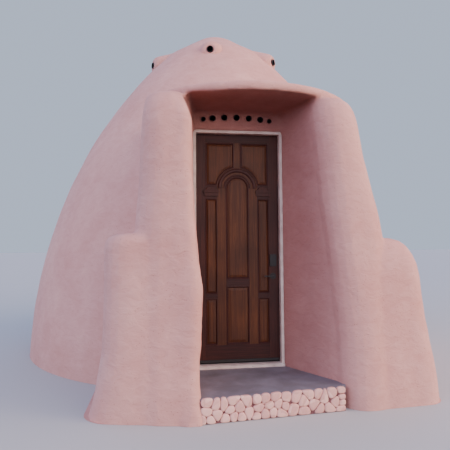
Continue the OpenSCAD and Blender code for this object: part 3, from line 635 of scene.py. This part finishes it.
def open_hole(bm, start, end, radius):
    """Takes out the skin inside a round bar from start to end and rounds the hole's rim."""
    start, end = Vector(start), Vector(end)
    axis = (end - start).normalized()
    reach = (end - start).length

    def off_axis(co):
        along = (co - start).dot(axis)
        return along, (co - start) - axis * along

    inside = []
    for face in bm.faces:
        middle = face.calc_center_median()
        if max(abs(middle.x - start.x), abs(middle.y - start.y)) < search_reach:
            along, out = off_axis(middle)
            if 0 < along < reach and out.length < radius * hole_share:
                inside.append(face)
    bmesh.ops.delete(bm, geom=inside, context="FACES")
    for edge in bm.edges:
        if edge.is_boundary:
            for point in edge.verts:
                along, out = off_axis(point.co)
                if 0 < along < reach and 0 < out.length < radius * rim_share:
                    point.co += out.normalized() * (radius - out.length)


print("a hole's rim is sought up to", rim_share, "radii from its middle")

# %% Open the pipe holes
pipe_mid_x = round(sum(corner.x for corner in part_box("transom_pipes")) / 2, 4)
pipe_steps, pipe_mid_z, pipe_arc_r = (0.0, 0.133, 0.258, 0.358), 2.847, 2.4
pipe_r, end_pipe_r, past_wall = 0.0325, 0.025, 0.05
pipe_places = []
for number in range(-3, 4):
    step = pipe_steps[abs(number)]
    pipe_places.append((pipe_mid_x + math.copysign(step, number),
                        pipe_mid_z + math.sqrt(pipe_arc_r ** 2 - step ** 2) - pipe_arc_r,
                        end_pipe_r if abs(number) == 3 else pipe_r))
for x, z, radius in pipe_places:
    open_hole(porch_skin, (x, wall_front_y - past_wall, z), (x, wall_back_y + past_wall, z),
              radius)
print("holes opened over the door:", len(pipe_places))

# %% Open the vent holes
vent_low_z, vent_high_z = (corner.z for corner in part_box("vent_pipes"))
vent_r = round((vent_high_z - vent_low_z) / 2, 4)
vent_middle = Vector((0, 0, round((vent_low_z + vent_high_z) / 2, 4)))
vent_count, first_vent_turn, vent_from, vent_to = 6, -100.5, 0.40, 1.30
vent_ways = []
for number in range(vent_count):
    turn = math.radians(first_vent_turn + number * 360 / vent_count)
    vent_ways.append(Vector((math.cos(turn), math.sin(turn), 0)))
for way in vent_ways:
    open_hole(house_skin, way * vent_from + vent_middle, way * vent_to + vent_middle, vent_r)
print("holes opened in the cap:", len(vent_ways), "at", round(vent_middle.z, 3), "m")

# %% [markdown]
# ### Four pieces of skin
# The skins are cut into the two halves of the porch, the dome's outside and the room's
# inside, so that no piece is too heavy. The cuts follow the faces, so the surfaces still
# meet. A face belongs to the room when it looks at the dome's axis or is a ceiling, and lies
# within the wall's outside.

# %% Cut the skins into pieces
room_front_y, room_reach, room_r, door_mid_x = -2.60, 4.70, 2.55, -0.07


def skin_piece(bm, name, belongs, stands_for=()):
    """Copies the skin, keeps the faces that belong to this piece and makes it an object."""
    part = bm.copy()
    others = [face for face in part.faces if not belongs(face)]
    bmesh.ops.delete(part, geom=others, context="FACES")
    return finish_piece(part, name, "house", lime_plaster, stands_for)


def faces_room(face):
    """Whether a face is one that the room shows."""
    middle = face.calc_center_median()
    flat = Vector((middle.x, middle.y, 0))
    looks_in = face.normal.dot(flat) < 0 or face.normal.z < -0.8
    near = middle.length < room_reach and flat.length < room_r and middle.y > room_front_y
    return looks_in and near


def left_of_door(face):
    """Whether a face lies to the left of the door's middle."""
    return face.calc_center_median().x < door_mid_x


skin_piece(house_skin, "room_plaster", faces_room)
skin_piece(house_skin, "dome_plaster", lambda face: not faces_room(face),
           plastered + ["vent_stubs"])
skin_piece(porch_skin, "left_porch_plaster", left_of_door)
skin_piece(porch_skin, "right_porch_plaster", lambda face: not left_of_door(face))
house_skin.free()
porch_skin.free()

# %% [markdown]
# The skins are open at the ground, where the wall rests on its footing. One more piece closes
# them there: the undersides of the solids, which already lie flat on the ground.

# %% Close the wall's foot
foot = bmesh.new()
for name in plastered:
    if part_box(name)[0].z < 1 * MM:
        solid = copy_solids([name])
        upper = [face for face in solid.faces if face.normal.z > -0.99]
        bmesh.ops.delete(solid, geom=upper, context="FACES")
        pour_into(foot, solid)
finish_piece(foot, "plaster_foot", "house", lime_plaster, smooth=False)

# %% [markdown]
# ### Plaster collars and stubs
# Each vent pipe sits in a blunt cone of plaster that flares into the cap, and each pipe
# over the door in a low ring. A collar is a profile spun round the pipe's line: it starts
# inside the wall, swells, and turns in at the pipe. Noise makes the cones a little uneven.

# %% Spin the vent stubs
def add_collar(bm, start, axis, profile, steps):
    """Spins (distance along the axis, radius) pairs about the axis from start."""
    start, axis = Vector(start), Vector(axis).normalized()
    side = axis.orthogonal().normalized()
    points = [bm.verts.new(start + axis * along + side * radius) for along, radius in profile]
    edges = [bm.edges.new(pair) for pair in zip(points, points[1:])]
    bmesh.ops.spin(bm, geom=points + edges, cent=start, axis=axis, angle=math.tau,
                   steps=steps, use_merge=True)


stub_profile = ((0.62, 0.330), (0.74, 0.260), (0.84, 0.215), (0.92, 0.183), (0.98, 0.160),
                (1.02, 0.142), (1.048, 0.124), (1.066, 0.102), (1.076, 0.080), (1.078, 0.062),
                (1.072, 0.050), (1.06, 0.0446), (0.85, 0.0446))
stub_swell_h = 0.006
stubs = bmesh.new()
for way in vent_ways:
    add_collar(stubs, vent_middle, way, stub_profile, 40)
for point in stubs.verts:
    drift = [noise.noise(point.co * 6 + Vector((k, 5, 2))) for k in range(3)]
    point.co += Vector(drift) * stub_swell_h
bmesh.ops.remove_doubles(stubs, verts=stubs.verts, dist=0.1 * MM)
bmesh.ops.recalc_face_normals(stubs, faces=stubs.faces)
finish_piece(stubs, "vent_stub_plaster", "house", lime_plaster)

# %% Spin the rings over the door
rings = bmesh.new()
for x, z, radius in pipe_places:
    add_collar(rings, (x, wall_front_y, z), (0, -1, 0), [
        (-0.012, radius + 0.020), (-0.002, radius + 0.014), (0.003, radius + 0.007),
        (0.003, radius + 0.001), (-0.020, radius + 0.0005)], 24)
bmesh.ops.remove_doubles(rings, verts=rings.verts, dist=0.1 * MM)
bmesh.ops.recalc_face_normals(rings, faces=rings.faces)
finish_piece(rings, "pipe_ring_plaster", "house", lime_plaster)
for name in ("vent_pipes", "transom_pipes"):
    dress_solid(name, pipe_plastic)

# %% [markdown]
# ## The step and the porch slab
# The step's front is a wall of stones about a palm wide, three to four high, set so closely
# that they take each other's outline. Their middles are thrown at random and kept when they
# lie far enough from the others; a column of four small ones closes the right end. The step
# shows between the two piers, and its ends are sunk a little into their plaster.

# %% Lay out the stones
import random

stone_seed = random.Random(11)
step_left, step_right = Vector((-0.560, -3.5832, 0)), Vector((0.745, -3.4588, 0))
step_run = (step_right - step_left).normalized()
step_out = Vector((step_run.y, -step_run.x, 0))
step_length = (step_right - step_left).length
stone_spacing, stone_throws = 0.064, 3000
end_stones_in, first_stone_in, stone_margin = 0.030, 0.012, 0.028
stone_places = [(step_length - end_stones_in, floor_z * share)
                for share in (0.13, 0.38, 0.63, 0.88)]
for _ in range(stone_throws):
    place = (stone_seed.uniform(first_stone_in, step_length),
             stone_seed.uniform(stone_margin, floor_z - stone_margin))
    if all(math.dist(place, other) > stone_spacing for other in stone_places):
        stone_places.append(place)
print("stones:", len(stone_places))

# %% [markdown]
# Each stone is cut from a rectangle by the lines half way to its neighbours, so that their
# outlines fit. The top ones stand 3 to 10 mm above the slab. Corners closer than 12 mm are
# merged, each edge gets three more points, and smoothing rounds the outline; that draws it
# in, so it is scaled up a little afterwards.

# %% A helper that cuts a stone's outline
blank_w, blank_h, shortest_edge, grow_back = 0.24, 0.20, 0.012, 1.035
least_proud, most_proud = 0.003, 0.010


def stone_outline(place, neighbours):
    """One flat stone as a bmesh; X runs along the step and Y up."""
    stone = bmesh.new()
    bmesh.ops.create_grid(stone, x_segments=1, y_segments=1, size=0.5)
    bmesh.ops.scale(stone, vec=(blank_w, blank_h, 1), verts=stone.verts)
    bmesh.ops.translate(stone, vec=(place[0], place[1], 0), verts=stone.verts)
    top = floor_z + stone_seed.uniform(least_proud, most_proud)
    limits = [((0, 0, 0), (0, -1, 0)), ((0, top, 0), (0, 1, 0)),
              ((0, 0, 0), (-1, 0, 0)), ((step_length, 0, 0), (1, 0, 0))]
    for other in neighbours:
        middle = ((place[0] + other[0]) / 2, (place[1] + other[1]) / 2, 0)
        limits.append((middle, (other[0] - place[0], other[1] - place[1], 0)))
    for point, outward in limits:
        cut_away(stone, point, outward)
    bmesh.ops.remove_doubles(stone, verts=stone.verts, dist=shortest_edge)
    bmesh.ops.bisect_edges(stone, edges=stone.edges, cuts=3)
    for _ in range(3):
        bmesh.ops.smooth_vert(stone, verts=stone.verts, factor=0.5, use_axis_x=True,
                              use_axis_y=True)
    bmesh.ops.scale(stone, vec=(grow_back, grow_back, 1), verts=stone.verts,
                    space=Matrix.Translation((-place[0], -place[1], 0)))
    return stone


print("widest stone a blank allows:", blank_w, "m")

# %% [markdown]
# The outline then swells like a pillow: its face is extruded six times, and each time it is
# moved out and scaled towards its middle, steeply at first and more flatly near the top.

# %% Swell the stones and set them
stone_depth = 0.028
swell_steps = ((0.99, 0.50), (0.975, 0.20), (0.955, 0.13), (0.92, 0.09), (0.86, 0.05),
               (0.70, 0.02))


def add_stone(bm, place, neighbours):
    """Swells one stone out of the bed and adds it to a bmesh."""
    stone = stone_outline(place, neighbours)
    stone.faces.ensure_lookup_table()
    face = stone.faces[0]
    if face.normal.z < 0:
        face.normal_flip()
    centre = face.calc_center_median()
    swell = stone_seed.uniform(0.90, 1.0) * stone_depth
    for shrink, rise in swell_steps:
        face = bmesh.ops.extrude_discrete_faces(stone, faces=[face])["faces"][0]
        bmesh.ops.scale(stone, vec=(shrink, shrink, 1), space=Matrix.Translation(-centre),
                        verts=face.verts)
        bmesh.ops.translate(stone, vec=(0, 0, rise * swell), verts=face.verts)
    pour_into(bm, stone)


cobbles = bmesh.new()
for place in stone_places:
    near = [other for other in stone_places
            if other != place and math.dist(place, other) < blank_w]
    add_stone(cobbles, place, near)
turn = Matrix((step_run, (0, 0, 1), step_out)).transposed().to_4x4()
bmesh.ops.transform(cobbles, matrix=turn, verts=cobbles.verts)
bmesh.ops.translate(cobbles, vec=step_left - step_out * stone_depth, verts=cobbles.verts)
for point in cobbles.verts:
    point.co.z = max(point.co.z, 0.5 * MM)
finish_piece(cobbles, "step_cobbles", "house", cobble_paint)

# %% [markdown]
# Behind the stones lies the mortar bed, which is the step's own solid with its front face
# drawn back to the bottom of the joints. On top of it the porch slab's concrete runs on to
# the backs of the stones. The slab and the floor keep their solids and take the concrete.

# %% Draw back the mortar bed and cover it
concrete_t, joint_depth = 0.015, 0.017


def drawn_back_step(low, high, back):
    """The step's solid between two levels, with its front face drawn back."""
    bed = copy_solids(["porch_step"])
    for point in bed.verts:
        if abs((point.co - step_left).dot(step_out)) < 2 * MM:
            point.co -= step_out * back
        point.co.z = high if point.co.z > floor_z / 2 else low
    for end, outward in ((step_left, -step_run), (step_right, step_run)):
        cut_away(bed, end, outward)
        bmesh.ops.holes_fill(bed, edges=[edge for edge in bed.edges if edge.is_boundary])
    bmesh.ops.recalc_face_normals(bed, faces=bed.faces)
    return bed


finish_piece(drawn_back_step(0, floor_z - concrete_t, joint_depth), "step_mortar", "house",
             joint_mortar, ["porch_step"], smooth=False)
finish_piece(drawn_back_step(floor_z - concrete_t, floor_z, stone_depth - 4 * MM),
             "step_top_concrete", "house", porch_concrete, smooth=False)
for name in ("porch_slab", "floor_slab"):
    dress_solid(name, porch_concrete)

# %% [markdown]
# ## The door leaf
# The leaf is framed from stiles, rails and mullions, with eight panels between them: two
# over an arch, the tall arched one, a tall one on each side, and three below. Its lengths
# are read from the solids: u runs from the hinge edge to the lock edge and v from the foot up.

# %% Measure the leaf
leaf_low, leaf_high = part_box("hinge_stile")[0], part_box("lock_stile")[1]
leaf_w, leaf_h = leaf_high.x - leaf_low.x, leaf_high.z - leaf_low.z
middle_u = leaf_w / 2
stile_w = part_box("hinge_stile")[1].x - leaf_low.x
bottom_rail_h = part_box("bottom_rail")[1].z - leaf_low.z
top_rail_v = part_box("top_rail")[0].z - leaf_low.z
side_rail_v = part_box("cross_rails")[0].z - leaf_low.z
side_rail_top_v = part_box("tall_panels")[0].z - leaf_low.z
centre_rail_v, centre_rail_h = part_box("lower_panels")[1].z - leaf_low.z, 0.070
mullion_u, mullion_w, crown_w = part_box("mullions")[0].x - leaf_low.x, 0.092, 0.063
arch_outer_r, arch_v = middle_u - mullion_u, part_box("door_arch")[0].z - leaf_low.z
arch_r = arch_outer_r - mullion_w
capital_h, capital_top_v = 0.142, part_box("upper_panels")[0].z - leaf_low.z
print("leaf:", round(leaf_w, 3), "x", round(leaf_h, 3), "arch radius:", round(arch_r, 3))

# %% [markdown]
# The frame's members are the model's own solids with their edges softened, so that the joints
# between them show. Each keeps the grain that runs along it.

# %% Soften the leaf's frame
for name, wood in (("hinge_stile", stile_mahogany), ("lock_stile", stile_mahogany),
                   ("mullions", panel_mahogany), ("door_arch", panel_mahogany),
                   ("top_rail", rail_mahogany), ("bottom_rail", rail_mahogany),
                   ("cross_rails", rail_mahogany)):
    piece = finish_piece(copy_solids([name]), name + "_wood", "door", wood,
                         [name], smooth=False)
    round_edges(piece, 1.2 * MM)

# %% [markdown]
# A raised panel has the same run of shapes on all its sides: a bead at the edge, a cove down
# to a narrow flat, a slope up, and the field. An n-sided face that is inset again and again,
# each time with a thickness and a depth, makes all of that with true mitres, on straight and
# on arched outlines alike. It is done on the front and on the back of one closed prism. The
# mouldings are as dark as the frame and the fields are lighter, so each face is marked as the
# one or the other.

# %% A helper for raised panels
moulding, field = 0, 1
edge_steps = ((0.001, 0.003), (0.006, 0.001), (0.005, -0.004), (0.001, -0.006), (0.003, -0.003))
slope_rise, rim_step = 0.006, 0.0015


def leaf_point(u, v, y=leaf_low.y):
    """A point of the leaf: u from its hinge edge, v from its foot."""
    return Vector((leaf_low.x + u, y, leaf_low.z + v))


def add_panel(bm, outline, spread, slope):
    """Adds one panel with mouldings on both faces; the outline is a list of (u, v)."""
    panel = bmesh.new()
    front = panel.faces.new([panel.verts.new(leaf_point(u, v)) for u, v in outline])
    grown = bmesh.ops.extrude_face_region(panel, geom=[front])
    moved = [item for item in grown["geom"] if isinstance(item, bmesh.types.BMVert)]
    bmesh.ops.translate(panel, vec=(0, leaf_high.y - leaf_low.y, 0), verts=moved)
    bmesh.ops.recalc_face_normals(panel, faces=panel.faces)
    ends = [face for face in panel.faces if len(face.verts) == len(outline)
            and abs(face.normal.y) > 0.9]
    steps = [(inward * spread, outward, moulding) for inward, outward in edge_steps]
    for inward, outward, mark in steps + [(slope, slope_rise, field),
                                          (rim_step, rim_step, field)]:
        for face in ends:
            face.material_index = mark
        bmesh.ops.inset_individual(panel, faces=ends, thickness=inward, depth=outward,
                                   use_even_offset=True)
    pour_into(bm, panel)


print("depth of the panels' edge:", round(-sum(step[1] for step in edge_steps) / MM, 1), "mm")

# %% [markdown]
# The eight panels follow the leaf's lengths. The two over the arch take its outer curve in
# seven steps, which are long enough for the mouldings to turn without crossing. Those on the
# right are mirrored from the left.

# %% Draw the panels' outlines
def box_outline(u0, v0, u1, v1):
    """A rectangle's outline from two of its corners."""
    return [(u0, v0), (u1, v0), (u1, v1), (u0, v1)]


def arc(u, v, radius, start, end, steps):
    """Points of an arc about (u, v), between two angles in degrees."""
    turns = [math.radians(start + (end - start) * k / steps) for k in range(steps + 1)]
    return [(u + radius * math.cos(a), v + radius * math.sin(a)) for a in turns]


def mirrored(outline):
    """The same outline on the other side of the leaf's middle."""
    return [(leaf_w - u, v) for u, v in reversed(outline)]


left_tall = box_outline(stile_w, side_rail_top_v, mullion_u, capital_top_v - capital_h)
left_low = box_outline(stile_w, bottom_rail_h, mullion_u, side_rail_v)
middle_low = box_outline(middle_u - arch_r, bottom_rail_h, middle_u + arch_r, centre_rail_v)
arched = [(middle_u - arch_r, centre_rail_v + centre_rail_h),
          (middle_u + arch_r, centre_rail_v + centre_rail_h)]
arched += arc(middle_u, arch_v, arch_r, 0, 180, 28)
start = 180 - math.degrees(math.asin((capital_top_v - arch_v) / arch_outer_r))
end = 90 + math.degrees(math.asin(crown_w / 2 / arch_outer_r))
spandrel = [(stile_w, capital_top_v)] + arc(middle_u, arch_v, arch_outer_r, start, end, 7)
spandrel += [(middle_u - crown_w / 2, top_rail_v), (stile_w, top_rail_v)]
print("points of the arched panel:", len(arched), "and of the panels over it:", len(spandrel))

# %% [markdown]
# Wide panels have wider mouldings and slopes. When all are made, the marks part them into two
# pieces, dark mouldings and lighter fields, and both stand for the solids of the panels.

# %% Make the eight panels
panels = bmesh.new()
for outline, spread, slope in (
        (left_tall, 1.0, 0.012), (mirrored(left_tall), 1.0, 0.012), (left_low, 1.1, 0.018),
        (mirrored(left_low), 1.1, 0.018), (middle_low, 1.3, 0.030), (arched, 1.3, 0.022),
        (spandrel, 1.3, 0.018), (mirrored(spandrel), 1.3, 0.018)):
    add_panel(panels, outline, spread, slope)
for mark, name, wood, slot in ((moulding, "panel_mouldings", stile_mahogany, "dark_mahogany"),
                               (field, "panel_fields", panel_mahogany, "mahogany_panel")):
    part = panels.copy()
    bmesh.ops.delete(part, geom=[face for face in part.faces if face.material_index != mark],
                     context="FACES")
    for face in part.faces:
        face.material_index = 0
    finish_piece(part, name, "door", wood, ["upper_panels", "tall_panels", "lower_panels"],
                 smooth=False)
panels.free()

# %% [markdown]
# ### Mouldings on the arch and the capitals
# Two rolls follow the arch, and where it springs from the mullions a small capital sits on
# each side: a low arch over three bars, the widest in the middle, which steps out like the
# head of a column. A roll is a half-round section spun half a turn. The low arch is a blunt
# cone pressed flat, and the bars are blocks whose lower corners are rounded.

# %% Helpers for a roll and a capital
roll_sizes = ((0.192, 0.021, 0.013), (0.140, 0.010, 0.007))
cap_r, cap_top_r, cap_t, cap_press, cap_v = 0.060, 0.052, 0.010, 0.6, 1.834
bar_sizes = ((1.825, 1.833, 0.074, 0.016, 0), (1.799, 1.825, 0.084, 0.019, 0.006),
             (1.762, 1.799, 0.078, 0.013, 0.014))


def add_roll(bm, face_y, out, radius, half_width, reach):
    """Adds a half-round roll over the arch; out is -1 on the front and 1 on the back."""
    centre = leaf_point(middle_u, arch_v, face_y)
    turns = [math.pi * k / 8 for k in range(9)]
    points = [bm.verts.new(centre + Vector((radius + half_width * math.cos(turn),
                                            out * reach * math.sin(turn), 0))) for turn in turns]
    edges = [bm.edges.new(pair) for pair in zip(points, points[1:])]
    bmesh.ops.spin(bm, geom=points + edges, cent=centre, axis=(0, -1, 0), angle=math.pi,
                   steps=36)


def add_capital(bm, u, face_y, out):
    """Adds a capital whose middle is u from the hinge edge."""
    cap_arch = bmesh.ops.create_cone(bm, cap_ends=True, segments=40, radius1=cap_r,
                                     radius2=cap_top_r, depth=cap_t)["verts"]
    bmesh.ops.rotate(bm, cent=(0, 0, 0), verts=cap_arch,
                     matrix=Matrix.Rotation(math.radians(-90 * out), 3, "X"))
    bmesh.ops.scale(bm, vec=(1, 1, cap_press), verts=cap_arch)
    bmesh.ops.translate(bm, vec=leaf_point(u, cap_v, face_y + out * cap_t / 2), verts=cap_arch)
    for low_v, high_v, half, reach, corner in bar_sizes:
        low, high = leaf_point(u - half, low_v), leaf_point(u + half, high_v)
        low.y, high.y = sorted((face_y, face_y + out * reach))
        bar = add_block(bm, low, high)
        if corner:
            under = [edge for point in bar for edge in point.link_edges
                     if all(end.co.z < low.z + 0.1 * MM for end in edge.verts)
                     and abs(edge.verts[0].co.y - edge.verts[1].co.y) > 1 * MM]
            bmesh.ops.bevel(bm, geom=list(set(under)), offset=corner, segments=5,
                            profile=0.5, affect="EDGES", material=-1)


print("rolls:", len(roll_sizes), "bars in a capital:", len(bar_sizes))

# %% [markdown]
# The same rolls and capitals are made for both faces of the leaf, and a small bevel takes the
# sharpness off all of them.

# %% Make the arch rolls and capitals
trim = bmesh.new()
capital_u = (stile_w + mullion_u) / 2
for face_y, out in ((leaf_low.y, -1), (leaf_high.y, 1)):
    for radius, half_width, reach in roll_sizes:
        add_roll(trim, face_y, out, radius, half_width, reach)
    for u in (capital_u, leaf_w - capital_u):
        add_capital(trim, u, face_y, out)
bmesh.ops.recalc_face_normals(trim, faces=trim.faces)
trim_piece = finish_piece(trim, "arch_and_capital_trim", "door", stile_mahogany,
                          smooth=False)
round_edges(trim_piece, 1.5 * MM, 2, 40)

# %% [markdown]
# ## Hinges, lockset and sweep
# These small pieces are the model's own solids with rounded edges, because cast, stamped and
# moulded parts never have knife edges.

# %% Soften the fittings
for name, body, finish, slot, width in (
        ("door_hinges", "door", hinge_steel, "satin_steel", 0.5),
        ("frame_hinges", "house", hinge_steel, "satin_steel", 0.5),
        ("door_sweep", "door", sweep_vinyl, "black_vinyl", 1.5),
        ("sill_strip", "house", sweep_vinyl, "black_vinyl", 1.5),
        ("door_locks", "door", lock_enamel, "black_lockset", 3.0),
        ("lever_set", "lever", lock_enamel, "black_lockset", 2.5)):
    piece = finish_piece(copy_solids([name]), name + "_shaped", body, finish, [name],
                         smooth=False)
    round_edges(piece, width * MM, 3)

# %% [markdown]
# ## The door frame
# A joiner takes the sharpness off a frame before it is painted, because paint wears through
# on a knife edge. Jambs, head and sill keep their solids, and a small bevel eases them.

# %% Ease the frame's edges
for name in ("hinge_jamb", "lock_jamb", "head_jamb", "door_sill"):
    piece = finish_piece(copy_solids([name]), name + "_paint", "house", frame_paint,
                         [name], smooth=False)
    round_edges(piece, 2.0 * MM)

# %% [markdown]
# The sill is screwed down through its nose, and the four screw heads show there as dark dots.
# A head is a low blunt cone that stands out by 2 mm.

# %% Screw down the sill
screw_r, screw_top_r, screw_t, screw_z = 0.005, 0.0045, 0.003, 0.015
sill_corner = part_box("door_sill")[0]
screws = bmesh.new()
for x in (-0.40, -0.17, 0.06, 0.29):
    head = bmesh.ops.create_cone(screws, cap_ends=True, segments=16, radius1=screw_r,
                                 radius2=screw_top_r, depth=screw_t)["verts"]
    bmesh.ops.rotate(screws, cent=(0, 0, 0), matrix=Matrix.Rotation(math.radians(90), 3, "X"),
                     verts=head)
    bmesh.ops.translate(screws, vec=(x, sill_corner.y - 0.5 * MM, sill_corner.z + screw_z),
                        verts=head)
finish_piece(screws, "sill_screws", "house", hinge_steel, smooth=False)

# %% [markdown]
# A vinyl weather strip lies in the corner of the stop, up both jambs and along the head. Two
# thin steel strike plates lie on the lock jamb, level with the lever and with the bolt.

# %% Lay the weather strip
jamb_t, strip_w, strip_t = 0.019, 0.012, 0.004
stop_y, strip_foot_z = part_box("sill_strip")[0].y, 0.245
inner_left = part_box("hinge_jamb")[0].x + jamb_t
inner_right, head_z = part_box("lock_jamb")[1].x - jamb_t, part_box("lock_jamb")[1].z
strip = bmesh.new()
for left, right, foot_z in ((inner_left, inner_left + strip_w, strip_foot_z),
                            (inner_right - strip_w, inner_right, strip_foot_z),
                            (inner_left, inner_right, head_z - strip_w)):
    add_block(strip, (left, stop_y, foot_z), (right, stop_y + strip_t, head_z))
finish_piece(strip, "weather_strip", "house", sweep_vinyl, smooth=False)

# %% Lay the strike plates
lever_z = sum(corner.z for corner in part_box("lever_set")) / 2
bolt_z, strike_t, strike_front_y, strike_back_y = lever_z + 0.170, 0.0012, -2.562, -2.530
strikes = bmesh.new()
for level, half in ((lever_z, 0.035), (bolt_z, 0.030)):
    add_block(strikes, (inner_right - strike_t, strike_front_y, level - half),
              (inner_right, strike_back_y, level + half))
finish_piece(strikes, "strike_plates", "house", hinge_steel, smooth=False)

# %% [markdown]
# ## Stage
# The house stands on a plain pale floor that runs on past the view. A pale floor throws much
# light up into a porch, so this one is hidden from the rays that bounce between surfaces, and
# the porch stays in its own shade. It lies a millimetre under the house.

# %% Lay the floor
floor_half_w = 200
floor_bm = bmesh.new()
bmesh.ops.create_grid(floor_bm, x_segments=1, y_segments=1, size=floor_half_w)
bmesh.ops.translate(floor_bm, vec=(0, 0, -1 * MM), verts=floor_bm.verts)
floor_mesh = bpy.data.meshes.new("stage_floor")
floor_bm.to_mesh(floor_mesh)
floor_bm.free()
stage_floor = add_object("stage_floor", floor_mesh)
pale_floor, shader = new_material("pale_floor", Roughness=0.9, Base_Color=linear("b7b4b1"))
floor_mesh.materials.append(pale_floor)
stage_floor.visible_diffuse = False
print("floor:", 2 * floor_half_w, "m wide")

# %% [markdown]
# ## Light
# Most of the light comes from a soft sky. One weak warm lamp, high in front on the right,
# helps to round the piers. It is a disk five metres across, so its shadows have no edge.

# %% Hang the warm lamp
lamp_place, lamp_target = Vector((9.0, -8.0, 6.0)), Vector((0, -2.5, 1.4))
lamp_w, lamp_power, lamp_colour = 5.0, 500, "ffe6da"
disk = bpy.data.lights.new("warm_key", "AREA")
disk.shape = "DISK"
disk.size = lamp_w
disk.energy = lamp_power
disk.color = linear(lamp_colour)[:3]
warm_key = add_object("warm_key", disk)
warm_key.location = lamp_place
warm_key.rotation_euler = (lamp_target - lamp_place).to_track_quat("-Z", "Y").to_euler()
print("lamp:", lamp_power, "W,", round((lamp_target - lamp_place).length, 1), "m away")

# %% [markdown]
# ### The sky in front
# A world's colour can depend on the direction that a ray takes. In front of the house the sky
# runs from a cool tone on the left to a warmer and brighter one on the right. Its middle is
# dimmed, so that little of it shines straight into the porch while the piers stay bright.

# %% Mix the sky in front
def sky_colour(colour, strength):
    """Linear RGBA of an sRGB hex colour, made brighter or darker."""
    return [channel * strength for channel in linear(colour)[:3]] + [1.0]


world = bpy.data.worlds.new("soft_sky")
world.use_nodes = True
sky_place = add_node(world, "ShaderNodeTexCoord").outputs["Generated"]
way = add_node(world, "ShaderNodeSeparateXYZ", {"Vector": sky_place}).outputs
to_right = add_range(world, way["X"], -0.7, 0.4)
front_tint = add_mix(world, to_right, sky_colour("ccd5fa", 4.8), sky_colour("ffe9e1", 6.7))
off_middle = add_node(world, "ShaderNodeMath", {0: way["X"]}, operation="ABSOLUTE")
middle_dim = add_range(world, off_middle, 0.12, 0.55, 0.35, 1.0,
                       interpolation_type="SMOOTHSTEP")
front_sky = add_node(world, "ShaderNodeVectorMath", {0: front_tint, "Scale": middle_dim},
                     operation="SCALE")
print("sky nodes for the front:", len(world.node_tree.nodes))

# %% [markdown]
# ### The rest of the sky
# Behind the house and overhead the sky is bluer and weaker, and below the horizon it is dim.
# The camera itself sees none of this, but one plain pale backdrop.

# %% Mix the rest of the sky
behind = add_range(world, way["Y"], -0.15, 0.45, interpolation_type="SMOOTHSTEP")
level_sky = add_mix(world, behind, front_sky, sky_colour("b9cbee", 1.7))
height = add_range(world, way["Z"], 0.25, 0.80, interpolation_type="SMOOTHSTEP")
whole_sky = add_mix(world, height, level_sky, sky_colour("a9c2f6", 1.2))
above = add_range(world, way["Z"], -0.035, -0.020)
lit_sky = add_mix(world, above, sky_colour("6d7078", 0.4), whole_sky)
rays = add_node(world, "ShaderNodeLightPath")
seen_sky = add_mix(world, rays.outputs["Is Camera Ray"], lit_sky, sky_colour("b9c6dc", 1.1))
set_inputs(world.node_tree.nodes["Background"], {"Color": seen_sky})
bpy.context.scene.world = world
print("sky nodes in all:", len(world.node_tree.nodes))

# %% [markdown]
# ## Camera
# The camera stands where the photograph was taken from, at eye height and a little to the
# left of the door. It is turned to the right, tipped up and rolled a little. Its three axes
# are worked out from those angles and become the columns of its matrix.

# %% Set up the camera
eye_place = Vector((-0.88, -7.345, 1.455))
sensor_w, focal_length = 36.0, 36.0
yaw, pitch, roll = math.radians(8.0), math.radians(2.93), math.radians(0.4)
ahead = Vector((math.sin(yaw) * math.cos(pitch), math.cos(yaw) * math.cos(pitch),
                math.sin(pitch)))
level_right = Vector((math.cos(yaw), -math.sin(yaw), 0))
level_up = level_right.cross(ahead)
right = level_right * math.cos(roll) - level_up * math.sin(roll)
up = level_right * math.sin(roll) + level_up * math.cos(roll)
lens = bpy.data.cameras.new("eye_level_camera")
lens.sensor_width = sensor_w
lens.lens = focal_length
camera = add_object("eye_level_camera", lens)
turned = Matrix((right, up, -ahead)).transposed().to_4x4()
camera.matrix_world = Matrix.Translation(eye_place) @ turned
bpy.context.scene.camera = camera
print("camera:", [round(c, 3) for c in eye_place], "with a", focal_length, "mm lens")
